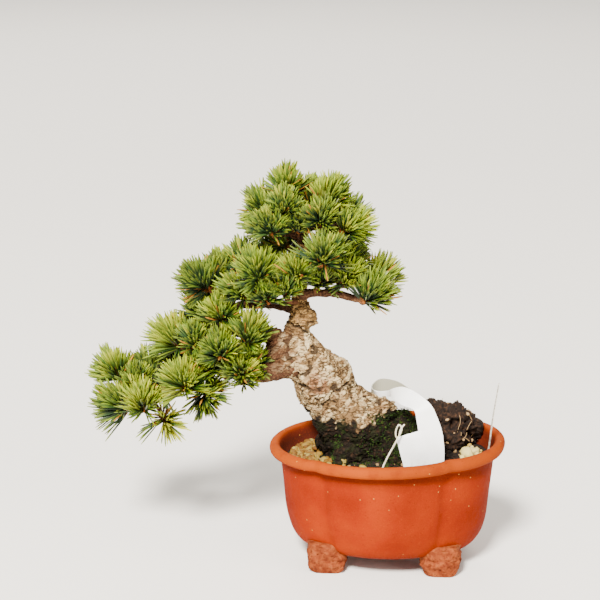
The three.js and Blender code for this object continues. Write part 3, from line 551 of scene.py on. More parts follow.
def clay_finish():
    """The pot's fired clay: paler lip, a painted shadow under it, painted shade inside and at its ends,
    and darker at its foot.
    """
    clay = Finish("fired_clay", Specular_IOR_Level=0.04)
    cloud = clay.speckle(30, 3)
    grain = clay.speckle(0.7, 2, 0.6)
    body = clay.ramp(
        cloud,
        (0.3, paint(111, 24, 1)),
        (0.52, paint(127, 33, 1)),
        (0.7, paint(138, 43, 2)),
    )
    inside = clay.carried("inside")
    lip = clay.height().step(66.5, 68.5) * (1 - inside)
    body = clay.mix(lip * 0.7, body, paint(148, 66, 6))
    smoked = clay.speckle(13, 3).step(0.5, 0.66)
    body = clay.mix(lip * smoked * 0.45, body, paint(112, 36, 5))
    # Painted shadow: a dark band on the wall under the lip, where the lip's overhang shades it.
    painted_lip_shade = clay.height().step(57, 65) * (1 - clay.height().step(66.5, 67.5))
    body = clay.mix(painted_lip_shade * (clay.speckle(20, 2) * 0.5 + 0.35), body, paint(74, 19, 3))
    # Painted shade: the pot's inner wall is darkened.
    body = clay.mix(inside * 0.85, body, paint(62, 27, 19))
    low = 1 - clay.height().step(10, 18)
    body = clay.mix(low * 0.55, body, paint(74, 20, 3))
    # Painted shade: the pot's ends, turned away from the light, are darkened.
    ends = abs(clay.across("X")).step(44, 74)
    body = clay.mix(ends * 0.3, body, paint(84, 20, 2))
    run = 1 - abs(clay.across("X") + clay.speckle(9, 2) * 8 + 31).step(0.8, 3.2)
    run = run * clay.height().step(18, 24) * (1 - clay.height().step(36, 44))
    run = run * clay.speckle(2.2, 3).step(0.42, 0.6) * (1 - clay.across("Y").step(-30, -20))
    body = clay.mix(run * 0.55, body, paint(153, 92, 26))
    flecks = 1 - clay.cells(6).step(0.045, 0.075)
    body = clay.mix(flecks * 0.75, body, paint(188, 134, 62))
    pits = clay.cells(2.3).step(0.05, 0.2)
    body = clay.mix((1 - pits) * 0.4, body, paint(70, 14, 1))
    body = clay.mix(grain.step(0.52, 0.75) * 0.25, body, paint(155, 61, 5))
    relief = grain * 0.5 + pits * 0.35 + clay.speckle(6, 2) * 1.6
    return clay.finished(body, clay.speckle(3, 2) * 0.22 + 0.62, relief, 0.3)


def foot_finish():
    """The feet's bare clay: paler and rough, with dark hollows."""
    clay = Finish("foot_clay", Specular_IOR_Level=0.1)
    rough = clay.speckle(3.4, 4, 0.65)
    colour = clay.ramp(
        rough,
        (0.3, paint(82, 29, 10)),
        (0.46, paint(110, 47, 18)),
        (0.6, paint(127, 62, 28)),
        (0.78, paint(139, 77, 40)),
    )
    pits = clay.cells(1.9).step(0.08, 0.3)
    colour = clay.mix((1 - pits) * 0.25, colour, paint(70, 23, 7))
    return clay.finished(colour, 0.72, rough * 1.6 + pits * 0.4 + clay.speckle(0.7) * 0.3, 0.9)


def bark_finish():
    """The trunk's bark: pale flakes, a golden neck, a dark burr and a damp black foot."""
    bark = Finish("bark", Specular_IOR_Level=0.12)
    long_place = bark.stretched(0.75, 0.75, 1.6)
    flake = bark.speckle(2.2, 4, 0.65, long_place)
    tone = bark.carried("tone")
    pale = bark.ramp(
        tone * 0.25 + flake * 0.75,
        (0.3, paint(108, 83, 52)),
        (0.41, paint(166, 140, 100)),
        (0.53, paint(186, 163, 121)),
        (0.68, paint(212, 195, 153)),
    )
    ruddy = bark.speckle(10, 3).step(0.5, 0.66)
    pale = bark.mix(ruddy * 0.35, pale, paint(119, 81, 54))
    pale = bark.mix(bark.carried("scar") * 0.6, pale, paint(114, 70, 46))
    golden = bark.ramp(
        flake,
        (0.3, paint(80, 54, 25)),
        (0.5, paint(138, 105, 60)),
        (0.75, paint(172, 139, 86)),
    )
    pale = bark.mix(bark.carried("upper"), pale, golden)
    edges = bark.cells(3.1, "DISTANCE_TO_EDGE", place=long_place)
    fine = (1 - edges.step(0.0, 0.14)) * bark.speckle(4, 3).step(0.4, 0.55)
    pale = bark.mix(fine * 0.85, pale, paint(58, 40, 23))
    pale = bark.mix(bark.carried("fissure").step(0.12, 0.62) * 0.92, pale, paint(42, 28, 16))
    burr = bark.carried("burr")
    pale = bark.mix(burr * 0.82, pale, paint(70, 41, 24))
    dark = bark.ramp(
        flake,
        (0.3, paint(7, 5, 2)),
        (0.55, paint(25, 17, 9)),
        (0.72, paint(59, 38, 22)),
        (0.85, paint(87, 60, 36)),
    )
    dark = bark.mix(bark.speckle(7, 3).step(0.5, 0.6) * 0.6, dark, paint(22, 27, 5))
    fibre = 1 - abs(bark.across("X") + 11).step(4, 10)
    fibre = fibre * (1 - abs(bark.height() - 81).step(4, 10))
    dark = bark.mix(fibre * bark.speckle(2.5, 3).step(0.38, 0.55), dark, paint(134, 82, 50))
    colour = bark.mix(bark.carried("damp"), pale, dark)
    relief = flake * 0.8 - fine * 0.9 + bark.speckle(0.6, 2) * 0.4
    return bark.finished(colour, 0.78, relief, 0.7)


def branch_finish():
    """The branches' brown bark, and the orange skin of their young shoots."""
    bark = Finish("branch_bark", Specular_IOR_Level=0.12)
    flake = bark.speckle(1.4, 4, 0.65)
    old = bark.ramp(
        flake,
        (0.3, paint(36, 20, 12)),
        (0.5, paint(72, 45, 29)),
        (0.68, paint(107, 76, 50)),
        (0.85, paint(133, 104, 73)),
    )
    young = bark.ramp(
        flake,
        (0.3, paint(96, 50, 20)),
        (0.6, paint(147, 87, 37)),
        (0.8, paint(170, 121, 64)),
    )
    colour = bark.mix(bark.carried("young"), old, young)
    return bark.finished(colour, 0.75 + flake * 0.1, flake + bark.speckle(0.5, 2) * 0.5, 0.4)


def needle_finish(name, dark, middle, bright):
    """Needles: brown at the sheath, painted shade deep green inside the tuft, painted light brighter
    outside.
    """
    needle = Finish(name, Specular_IOR_Level=0.25)
    shade = needle.carried("shade")
    along = needle.carried("along")
    green = needle.ramp(
        shade,
        (0.1, dark),
        (0.45, middle),
        (0.75, bright),
        (0.97, paint(164, 164, 42)),
    )
    green = needle.mix(needle.carried("inner") * 0.16, green, paint(104, 138, 92))
    # Painted shade: each needle darkens towards its base, deep inside the tuft.
    green = needle.mix((1 - along.step(0.2, 0.85)) * 0.72, green, dark)
    # Painted highlight: each needle's tip is mixed towards a bright yellow-green.
    green = needle.mix(along.step(0.6, 1.0) * 0.35, green, paint(146, 156, 26))
    green = needle.mix((1 - along.step(0.03, 0.2)) * 0.8, green, paint(108, 61, 15))
    green = needle.mix(needle.carried("dry") * 0.85, green, paint(166, 111, 41))
    return needle.finished(green, needle.speckle(3, 1) * 0.2 + 0.34)


def soil_finish():
    soil = Finish("soil_mix", Specular_IOR_Level=0.2)
    crumb = soil.speckle(1.6, 4, 0.7)
    colour = soil.ramp(
        crumb,
        (0.3, paint(9, 7, 5)),
        (0.52, paint(30, 22, 16)),
        (0.66, paint(61, 43, 29)),
        (0.82, paint(105, 79, 53)),
    )
    colour = soil.mix(soil.carried("tone").step(0.86, 0.95) * 0.8, colour, paint(149, 119, 81))
    return soil.finished(colour, 0.92, crumb + soil.speckle(0.5, 2) * 0.5, 0.9)


def moss_finish():
    moss = Finish("moss", Specular_IOR_Level=0.2)
    cloud = moss.speckle(5, 3)
    colour = moss.ramp(
        cloud * 0.6 + moss.carried("tone") * 0.5,
        (0.25, paint(8, 16, 2)),
        (0.5, paint(23, 41, 5)),
        (0.75, paint(46, 65, 11)),
        (0.95, paint(70, 81, 23)),
    )
    return moss.finished(colour, 0.85, moss.speckle(0.5, 2), 0.2)


def stone_finish(name, *stops):
    """Stones: each has its own tone, clouded and dusty."""
    stone = Finish(name, Specular_IOR_Level=0.2)
    cloud = stone.speckle(2.4, 3, 0.6)
    colour = stone.ramp(stone.carried("tone") * 0.8 + cloud * 0.3 - 0.05, *stops)
    colour = stone.mix(stone.speckle(0.5, 2).step(0.62, 0.75) * 0.4, colour, paint(120, 84, 48))
    return stone.finished(colour, 0.55 + cloud * 0.25, cloud + stone.speckle(0.4, 2) * 0.4, 0.25)


def peat_finish():
    peat = Finish("peat", Specular_IOR_Level=0.2)
    crumb = peat.speckle(2.2, 5, 0.7)
    colour = peat.ramp(
        crumb,
        (0.3, paint(10, 7, 5)),
        (0.5, paint(32, 21, 14)),
        (0.65, paint(68, 45, 29)),
        (0.8, paint(108, 78, 50)),
    )
    colour = peat.mix(peat.carried("tone").step(0.4, 0.6) * 0.85, colour, paint(179, 145, 101))
    return peat.finished(colour, 0.9, crumb + peat.speckle(0.6, 3) * 0.6, 1.1)


def label_finish():
    sheet = Finish("label_plastic", Specular_IOR_Level=0.5)
    dust = sheet.speckle(14, 4, 0.6)
    colour = sheet.ramp(dust, (0.35, paint(236, 236, 232)), (0.6, paint(246, 246, 244)))
    soiled = (1 - sheet.height().step(66, 76)) * sheet.speckle(2, 4).step(0.45, 0.65)
    # Painted shade: the part of the tail behind the trunk is painted grey.
    colour = sheet.mix(sheet.across("Y").step(4, 9), colour, paint(150, 146, 128))
    colour = sheet.mix(soiled * 0.4, colour, paint(168, 150, 122))
    return sheet.finished(colour, 0.34 + dust * 0.16, sheet.speckle(1.2, 2), 0.03)


def thread_finish(name, dark, pale, metallic):
    thread = Finish(name, Metallic=metallic)
    cloud = thread.speckle(1.1, 3)
    colour = thread.mix(cloud.step(0.35, 0.65), dark, pale)
    return thread.finished(colour, 0.5 + cloud * 0.2, cloud, 0.08)


def screen_finish():
    screen = Finish("screen_plastic")
    cloud = screen.speckle(3, 3)
    colour = screen.mix(cloud.step(0.3, 0.7), paint(34, 38, 36), paint(56, 60, 56))
    return screen.finished(colour, 0.5 + cloud * 0.2, screen.speckle(0.5), 0.05)


def floor_finish():
    floor = Finish("pale_floor", Specular_IOR_Level=0.2)
    cloud = floor.speckle(600, 2)
    colour = floor.mix(cloud, paint(236, 232, 225), paint(240, 236, 229))
    return floor.finished(colour, 0.85)


# Meshes


def as_mesh(bm, name):
    """What was modelled, as a mesh."""
    mesh = bpy.data.meshes.new(name)
    bm.to_mesh(mesh)
    bm.free()
    return mesh


def in_scene(name, data):
    """An object of a mesh, light or camera, linked to the scene."""
    made = bpy.data.objects.new(name, data)
    bpy.context.scene.collection.objects.link(made)
    return made


def finish_piece(bm, name, material, slot, *nodes, smooth=True):
    """Makes the object from a mesh in millimetres, and puts it on the frame."""
    place_mesh(as_mesh(bm, name), name, material, slot, *nodes, smooth=smooth)


def place_mesh(mesh, name, material, slot, *nodes, smooth=True):
    mesh.transform(PLACE)
    mesh.polygons.foreach_set("use_smooth", [smooth] * len(mesh.polygons))
    mesh.materials.append(material)
    piece = in_scene(name, mesh)
    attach(piece, "root")
    if nodes:
        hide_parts(*nodes)


def join(bm, part):
    """Adds a finished part to a mesh. Layers of the same name are carried over."""
    mesh = as_mesh(part, "part")
    bm.from_mesh(mesh)
    bpy.data.meshes.remove(mesh)


def fold_grid(bm, columns, rows, place, name=None, mark=None):
    """Adds a grid folded into a closed shape: place gives the point of a column and row.

    Mark gives the number of a row, which is stored under the name.
    """
    part = bmesh.new()
    layer = part.verts.layers.float.new(name) if name else None
    bmesh.ops.create_grid(part, x_segments=columns, y_segments=rows, size=0.5)
    for vert in part.verts:
        column = round((vert.co.x + 0.5) * columns) % columns
        row = round((vert.co.y + 0.5) * rows)
        vert.co = place(column, row)
        if name:
            vert[layer] = mark(row)
    bmesh.ops.remove_doubles(part, verts=part.verts, dist=1e-4)
    bmesh.ops.recalc_face_normals(part, faces=part.faces)
    join(bm, part)


def pattern(shape, name):
    """A small mesh to be copied many times, with room for one number a point."""
    mesh = as_mesh(shape, "pattern")
    carry(mesh, name, [0] * len(mesh.vertices))
    return mesh


def add_copy(bm, shape, matrix, name, value):
    """Adds a copy of a pattern, all of it with one value under the name."""
    one = shape.copy()
    one.transform(matrix)
    one.attributes[name].data.foreach_set("value", [value] * len(one.vertices))
    bm.from_mesh(one)
    bpy.data.meshes.remove(one)


def any_way(draw):
    """A direction drawn by chance, of any length up to the corners of a cube."""
    return Vector(draw.uniform(-1, 1) for _ in range(3))


def jitter(draw, size):
    """A small offset drawn by chance."""
    return Vector(draw.gauss(0, size) for _ in range(3))


def square_to(axis):
    """Two directions square to an axis and to each other."""
    side = axis.orthogonal().normalized()
    return side, axis.cross(side)


def moved_to(bm, places):
    """Moves each point of a mesh to its new place."""
    for vert, co in zip(bm.verts, places, strict=True):
        vert.co = co


def smooth_line(points, steps):
    """A smooth line through these points, in vectors of as many numbers."""
    line = [Vector(point) for point in points]
    ends = [2 * line[0] - line[1], *line, 2 * line[-1] - line[-2]]
    smooth = []
    for a, b, c, d in zip(ends, ends[1:], ends[2:], ends[3:], strict=False):
        for i in range(steps):
            t = i / steps
            slope = (c - a) * t
            bend = (2 * a - 5 * b + 4 * c - d) * t * t
            turn = (3 * b - a - 3 * c + d) * t * t * t
            smooth.append((2 * b + slope + bend + turn) / 2)
    return [*smooth, line[-1]]


def frames_along(line):
    """The line's points with their radius and two directions square to it."""
    frames = []
    side = Vector((0.31, 0.87, 0.12))
    for i, point in enumerate(line):
        tangent = (line[min(i + 1, len(line) - 1)] - line[max(i - 1, 0)]).to_3d().normalized()
        side = (side - tangent * side.dot(tangent)).normalized()
        frames.append((point.to_3d(), point[3], side.copy(), tangent.cross(side), tangent))
    return frames


def add_limb(bm, line, sides, swell=None, name=None, value=0):
    """Adds a limb of round section with rounded ends along a line of x, y, z and radius."""
    frames = frames_along(line)

    def end_ring(frame, size, out):
        centre, radius, side, other, tangent = frame
        return centre + tangent * radius * out, radius * size, side, other, tangent

    rings = [end_ring(frames[0], 0, -0.6), end_ring(frames[0], 0.6, -0.45)]
    rings += frames
    rings += [end_ring(frames[-1], 0.6, 0.45), end_ring(frames[-1], 0, 0.6)]

    def place(column, row):
        centre, radius, side, other, _ = rings[row]
        turn = 2 * math.pi * column / sides
        reach = radius * (swell(row / (len(rings) - 1), turn) if swell else 1)
        return centre + (side * math.cos(turn) + other * math.sin(turn)) * reach

    fold_grid(bm, sides, len(rings) - 1, place, name, lambda row: value)


def evened(bm, size):
    """The whole outside of a mesh of overlapping parts, as one even skin."""
    mesh = as_mesh(bm, "draft")
    draft = in_scene("draft", mesh)
    skin = draft.modifiers.new("skin", "REMESH")
    skin.mode = "VOXEL"
    skin.voxel_size = size
    seen = draft.evaluated_get(bpy.context.evaluated_depsgraph_get())
    whole = bmesh.new()
    whole.from_mesh(seen.to_mesh())
    bpy.data.objects.remove(draft)
    bpy.data.meshes.remove(mesh)
    whole.normal_update()
    return whole


def carry(mesh, name, values, domain="POINT"):
    """Stores one number a point or face on a mesh, for its material to read."""
    attribute = mesh.attributes.new(name, "FLOAT", domain)
    attribute.data.foreach_set("value", np.asarray(values, dtype=np.float32))


# Pot


def pot_circles():
    """The centres and radii of the arcs of the rim's front and of its right end."""
    front_bulge = RIM_Y - CREASE_Y
    front = (CREASE_X**2 + front_bulge**2) / (2 * front_bulge)
    end_bulge = RIM_X - CREASE_X
    end = (CREASE_Y**2 + end_bulge**2) / (2 * end_bulge)
    return [(0, RIM_Y - front, front), (RIM_X - end, 0, end)]


CIRCLES = pot_circles()
CREASE_TURN = math.atan2(CREASE_Y, CREASE_X)
DEEPEST_INSET = 17


def lobed(turn, inset):
    """How far the pot's outline is from its middle in one direction, at an inset from the rim."""
    x, y = abs(math.cos(turn)), abs(math.sin(turn))
    reaches = []
    for centre_x, centre_y, radius in CIRCLES:
        towards = x * centre_x + y * centre_y
        arc = radius - min(inset, DEEPEST_INSET)
        reaches.append(towards + math.sqrt(towards**2 + arc**2 - centre_x**2 - centre_y**2))
    highest = max(reaches)
    both = sum(math.exp((reach - highest) / CREASE_SOFTNESS) for reach in reaches)
    apart = abs(math.atan2(y, x) - CREASE_TURN)
    near = 1 - eased(apart, 0.2, 0.45)
    groove = CREASE_GROOVE["deep"] * math.exp(-((apart * highest / CREASE_GROOVE["wide"]) ** 2))
    rounded = highest + CREASE_SOFTNESS * math.log(both) * near
    return rounded - groove - max(0, inset - DEEPEST_INSET)


def warp(x, z):
    """How far the warp lifts the pot's wall at a place."""
    return WARP["rise"] * x / RIM_X * eased(z, WARP["from"], RIM_Z)


def inner_wall(z):
    """The inset of the pot's inner wall at a height, before the warp."""
    wall = POT_SECTION[-INNER_WALL_STEPS:]
    for (inset, high), (next_inset, low) in zip(wall, wall[1:], strict=False):
        if z >= low:
            return between(next_inset, inset, (z - low) / (high - low))
    return wall[-1][0]


def pot_body():
    """The pot's wall, lip, floor and drain hole in one fired piece."""
    columns = 320
    steps = 4
    section = smooth_line([[inset, z, 0] for inset, z in POT_SECTION], steps)
    hole_low, hole_high = Vector((0, section[0].y, 1)), Vector((0, section[-1].y, 1))
    rows = [hole_low, *section, hole_high, hole_low]
    crown = 1 + CROWN_STEP * steps

    def place(column, row):
        inset, z, hole = rows[row]
        turn = 2 * math.pi * column / columns
        reach = between(lobed(turn, inset), DRAIN_RADIUS, hole)
        x, y = reach * math.cos(turn), reach * math.sin(turn)
        uneven = noise.fractal(Vector((x, y, z)) * 0.035, 1, 2, 2) * 0.5 * (1 - hole)
        swell = 1 + uneven / max(reach, 20)
        return Vector((x * swell, y * swell, z + warp(x, z)))

    bm = bmesh.new()
    bm.verts.layers.float.new("inside")
    fold_grid(bm, columns, len(rows) - 1, place, "inside", lambda row: eased(row, crown + 2, crown + 14))
    finish_piece(bm, "pot_body", CLAY, "fired_clay", "pot")


def pot_feet():
    """Four rough cushions, narrower at the table, pressed up into the pot's underside."""
    bm = bmesh.new()
    columns = 84
    rows = smooth_line(FOOT_LEVELS, 5)

    def blunt(value):
        return math.copysign(abs(value) ** FOOT["blunt"], value)

    for sign_x in (-1, 1):
        for sign_y in (-1, 1):
            middle = Vector((sign_x * FOOT["x"], sign_y * FOOT["y"], 0))

            def place(column, row, middle=middle):
                turn = 2 * math.pi * column / columns
                z, share = rows[row]
                x = FOOT["wide"] / 2 * blunt(math.cos(turn)) * share
                y = FOOT["deep"] / 2 * blunt(math.sin(turn)) * share
                spot = middle + Vector((x, y, z))
                lumps = noise.fractal(spot * 0.17, 0.8, 2.1, 4) * 1.6
                crease = abs(noise.noise(spot * 0.27 + Vector((3, 7, 1)))) + abs(noise.noise(spot * 0.6))
                rough = lumps - (1 - eased(crease, 0, 0.22)) * 1.5
                out = 1 + rough / 11 * eased(z, -1, 3)
                return middle + Vector((x * out, y * out, max(0, z)))

            fold_grid(bm, columns, len(rows) - 1, place)
    finish_piece(bm, "pot_feet", FOOT_CLAY, "fired_clay", "pot")


# Soil, moss, gravel and peat


def soil_height(x, y):
    level = between(SOIL["left"], SOIL["right"], eased(x, SOIL["from"], SOIL["to"]))
    away = math.hypot(x - MOUND["x"], y - MOUND["y"]) / MOUND["reach"]
    return level + MOUND["height"] * max(0, 1 - away * away) ** 2


def on_soil(x, y):
    """The soil's height with its crumbs."""
    spot = Vector((x, y, 0))
    swells = noise.fractal(spot * 0.11, 1, 2, 3) * 0.9
    return soil_height(x, y) + swells + noise.fractal(spot * 0.6, 1, 2, 2) * 0.5


def worn_stones(finer=False):
    """A few worn stones of about unit radius, to be copied and turned."""
    shapes = []
    for i in range(7):
        shape = bmesh.new()
        if finer:
            bmesh.ops.create_icosphere(shape, subdivisions=3, radius=1)
        else:
            bmesh.ops.create_uvsphere(shape, u_segments=8, v_segments=6, radius=1)
        for vert in shape.verts:
            lump = noise.noise(vert.co * 0.9 + Vector((7 * i, 1, 4))) * 0.42
            facet = noise.noise(vert.co * 2.1 + Vector((2, 5 * i, 1))) * 0.14
            vert.co *= 1 + lump + facet
        shapes.append(pattern(shape, "tone"))
    return shapes


def stone_place(centre, radius, flat, draw):
    """Where and how a stone lies: its size, its flatness and its turn."""
    angle = draw.uniform(0, 6.3)
    spin = Matrix.Rotation(angle, 4, Vector((draw.random(), draw.random(), draw.random() + 0.1)))
    size = Matrix.Diagonal((draw.uniform(0.85, 1.3), draw.uniform(0.8, 1.05), flat, 1))
    turn = Matrix.Rotation(draw.uniform(0, 6.3), 4, "Z")
    return Matrix.Translation(centre) @ turn @ size @ Matrix.Scale(radius, 4) @ spin


def soil_ground():
    """The soil's body up to its crumbly top, with loose grains."""
    bm = bmesh.new()
    bm.verts.layers.float.new("tone")
    columns, steps = 200, 46
    floor = SOIL["floor"]
    walls = [(0, floor), (1, floor), (1, 32), (1, 57)]

    def place(column, row):
        turn = 2 * math.pi * column / columns
        if row < len(walls):
            share, z = walls[row]
            reach = lobed(turn, inner_wall(z) + 0.3) * share
            return Vector((reach * math.cos(turn), reach * math.sin(turn), z))
        share = 1 - (row - len(walls)) / steps
        rim_x, rim_y = 60 * math.cos(turn), 45 * math.sin(turn)
        level = soil_height(rim_x, rim_y)
        edge = lobed(turn, inner_wall(level - warp(rim_x, level)) - 0.3)
        x = edge * math.cos(turn) * share + MOUND["x"] * (1 - share)
        y = edge * math.sin(turn) * share + MOUND["y"] * (1 - share)
        return Vector((x, y, on_soil(x, y)))

    fold_grid(bm, columns, len(walls) + steps, place, "tone", lambda row: 0.2)
    draw = random.Random(5)
    for _ in range(SOIL_GRAINS):
        turn, away = draw.uniform(0, 2 * math.pi), math.sqrt(draw.random())
        reach = lobed(turn, 15) * away
        x, y = reach * math.cos(turn), reach * math.sin(turn)
        radius = draw.uniform(0.4, 1.25)
        centre = Vector((x, y, on_soil(x, y) + radius * 0.3))
        lying = stone_place(centre, radius, draw.uniform(0.6, 1), draw)
        add_copy(bm, draw.choice(STONES), lying, "tone", draw.random())
    finish_piece(bm, "soil_ground", SOIL_MIX, "soil", "soil")


def gravel(name, beds, pebbles, material, slot, node, seed):
    """Stones strewn over beds on the soil, and a few single pebbles.

    A bed is given with the count of its stones and their least and most radius.
    """
    bm = bmesh.new()
    bm.verts.layers.float.new("tone")
    draw = random.Random(seed)
    for (x, y, wide, deep), count, least, most in beds:
        for i in range(count):
            away = math.sqrt((i + draw.random()) / count)
            turn = i * GOLDEN_TURN + draw.uniform(-0.3, 0.3)
            px, py = x + wide * away * math.cos(turn), y + deep * away * math.sin(turn)
            radius = draw.uniform(least, most)
            centre = Vector((px, py, soil_height(px, py) + 0.6 + radius * draw.uniform(0.2, 0.9)))
            lying = stone_place(centre, radius, draw.uniform(0.6, 0.9), draw)
            if math.hypot(px, py) < lobed(math.atan2(py, px), 12):
                add_copy(bm, draw.choice(STONES), lying, "tone", draw.random())
    for x, y, radius in pebbles:
        centre = Vector((x, y, soil_height(x, y) + 0.7 * radius))
        lying = stone_place(centre, radius, 0.85, draw)
        add_copy(bm, draw.choice(BIG_STONES), lying, "tone", 0.9)
    finish_piece(bm, name, material, slot, node)


def peat_clod():
    """The peat lump: ledges and crumbs, with pale grains and hairs of root."""
    bm = bmesh.new()
    for x, y, z, radius in CLOD:
        matrix = Matrix.Translation((x, y, z))
        bmesh.ops.create_icosphere(bm, subdivisions=3, radius=radius, matrix=matrix)
    bm = evened(bm, PEAT_SKIN)
    moved = []
    for vert in bm.verts:
        rough = noise.fractal(vert.co * 0.13, 0.9, 2.1, 4) * 2.4
        crumbs = noise.voronoi(vert.co / 2.6)[0]
        rough += (0.55 - crumbs[0]) * 1.4 + noise.fractal(vert.co * 0.9, 1, 2, 2) * 0.5
        away, centres = noise.voronoi((vert.co + noise.noise_vector(vert.co * 0.3) * 1.5) / 6.5)
        rough += (noise.cell(centres[0] * 7.3) * 3.6 - 1.6) * eased(away[1] - away[0], 0.02, 0.2) - 0.4
        moved.append(vert.co + vert.normal * rough)
    moved_to(bm, moved)
    geometry = [*bm.verts, *bm.edges, *bm.faces]
    foot, down = (0, 0, PEAT_FOOT), (0, 0, -1)
    bmesh.ops.bisect_plane(bm, geom=geometry, plane_co=foot, plane_no=down, clear_outer=True)
    bmesh.ops.holes_fill(bm, edges=[edge for edge in bm.edges if edge.is_boundary])
    bm.verts.layers.float.new("tone")
    bm.normal_update()
    draw = random.Random(21)
    surface = [(vert.co.copy(), vert.normal.copy()) for vert in bm.verts if vert.co.z > 68]
    for spot, normal in draw.sample(surface, 60):
        lying = stone_place(spot + normal * 0.2, draw.uniform(0.4, 1.1), 0.85, draw)
        add_copy(bm, draw.choice(STONES), lying, "tone", float(draw.random() > 0.4))
    for spot, normal in draw.sample(surface, 26):
        root_bit(bm, spot, normal, draw)
    finish_piece(bm, "peat_clod", PEAT, "peat", "peat_lump")


def root_bit(bm, start, normal, draw):
    """A short pale hair of root that curls over the peat."""
    aside = any_way(draw).cross(normal).normalized()
    length = draw.uniform(2.5, 7)
    points = []
    for t in (0, 0.33, 0.66, 1):
        lift = 0.3 + math.sin(t * 3.1) * draw.uniform(0.2, 1.1)
        points.append((*(start + aside * length * t + normal * lift), 0.16))
    add_limb(bm, smooth_line(points, 3), 4, name="tone", value=1)


# Tree


def plate_swell(t, turn):
    """The trunk's coarse ribs and bands, as in the CAD source."""
    age = max(0.15, 1 - 1.25 * t)
    ribs = math.sin(turn * 3 + t * 9) + math.sin(turn * 5 - t * 23 + 1)
    bands = math.sin(t * 58 + math.sin(turn * 2) * 2)
    return 1 + age * (ribs * 0.07 + bands * 0.05)


def damp_line(x):
    """The height on the trunk's front where pale bark gives way to its dark foot."""
    sides = 4 * eased(-x, 28, 42) + 8 * eased(x, -14, 4)
    return 88 + sides + 1.6 * math.sin(x * 0.23 + 1) + math.sin(x * 0.9)


def bark_relief(point, upper):
    """The height of the bark's flakes at a point, the depth of its fissures and its tone."""
    across = Vector((-0.55, 0, 0.83))
    spot = point + noise.noise_vector(point * 0.11) * 3.6 + noise.noise_vector(point * 0.4) * 0.9
    spot = spot + across * across.dot(spot) * between(1.9, 0.2, upper)
    distances, centres = noise.voronoi(spot / between(8.5, 4.2, upper))
    crack = 1 - eased(distances[1] - distances[0], 0.02, 0.16)
    lift = noise.cell(centres[0] * 9.1)
    small, small_centres = noise.voronoi(spot / 2.4)
    small_crack = 1 - eased(small[1] - small[0], 0.02, 0.26)
    small_lift = noise.cell(small_centres[0] * 5.7)
    rough = noise.fractal(point * 0.35, 0.9, 2.1, 4)
    height = lift * 0.5 - crack * 1.3 + small_lift * 0.1 - small_crack * 0.2 + rough * 0.5
    fissure = max(crack * (0.6 + 0.4 * lift), small_crack * 0.7 * eased(rough, -0.1, 0.5))
    return height - 0.2, fissure * between(1, 0.5, upper), 0.7 * lift + 0.3 * small_lift


def fold_depth(point):
    """How deep a point lies in one of the trunk's folds, from 0 to 1."""
    deepest = 0
    for route, wide in FOLDS:
        for (x, z), (next_x, next_z) in zip(route, route[1:], strict=False):
            run_x, run_z = next_x - x, next_z - z
            share = ((point.x - x) * run_x + (point.z - z) * run_z) / (run_x**2 + run_z**2)
            share = min(max(share, 0), 1)
            away = math.hypot(point.x - x - share * run_x, point.z - z - share * run_z)
            if away < wide:
                deepest = max(deepest, 1 - eased(away, 0.15 * wide, wide))
    return deepest * (1 - eased(point.y, -6, 3))


def wrinkle_depth(point):
    """How deep a point lies in one of the thin wavy wrinkles across the trunk, from 0 to 1."""
    wave = point.z * 0.75 - point.x * 0.42 + noise.noise(point * 0.09 + Vector((7, 1, 4))) * 9
    broken = eased(noise.noise(point * 0.17 + Vector((1, 9, 3))), -0.15, 0.2)
    return (1 - eased(abs(math.sin(wave)), 0.04, 0.3)) * broken


def scar_relief(point):
    """How far a point lies inside a scar, from 0 to 1, and the height of the scars' rims there."""
    scarred, height = 0, 0
    for x, y, z, radius, depth in SCARS:
        away = (point - Vector((x, y, z))).length / radius * (1 + 0.3 * noise.noise(point * 0.3))
        scarred = max(scarred, 1 - eased(away, 0.6, 1.1))
        rim = eased(away, 0.5, 0.95) * (1 - eased(away, 0.95, 1.5))
        height += depth * (rim - 1 + eased(away, 0.3, 0.9))
    return scarred, height


def damp_share(point):
    """1 on the trunk's dark foot and 0 on its pale bark."""
    line = damp_line(point.x) + noise.fractal(point * 0.26, 0.8, 2.1, 4) * 4.5
    behind = 6 * eased(point.y, 0, 20)
    return 1 - eased(point.z, line - behind - 1.2, line - behind + 1.2)


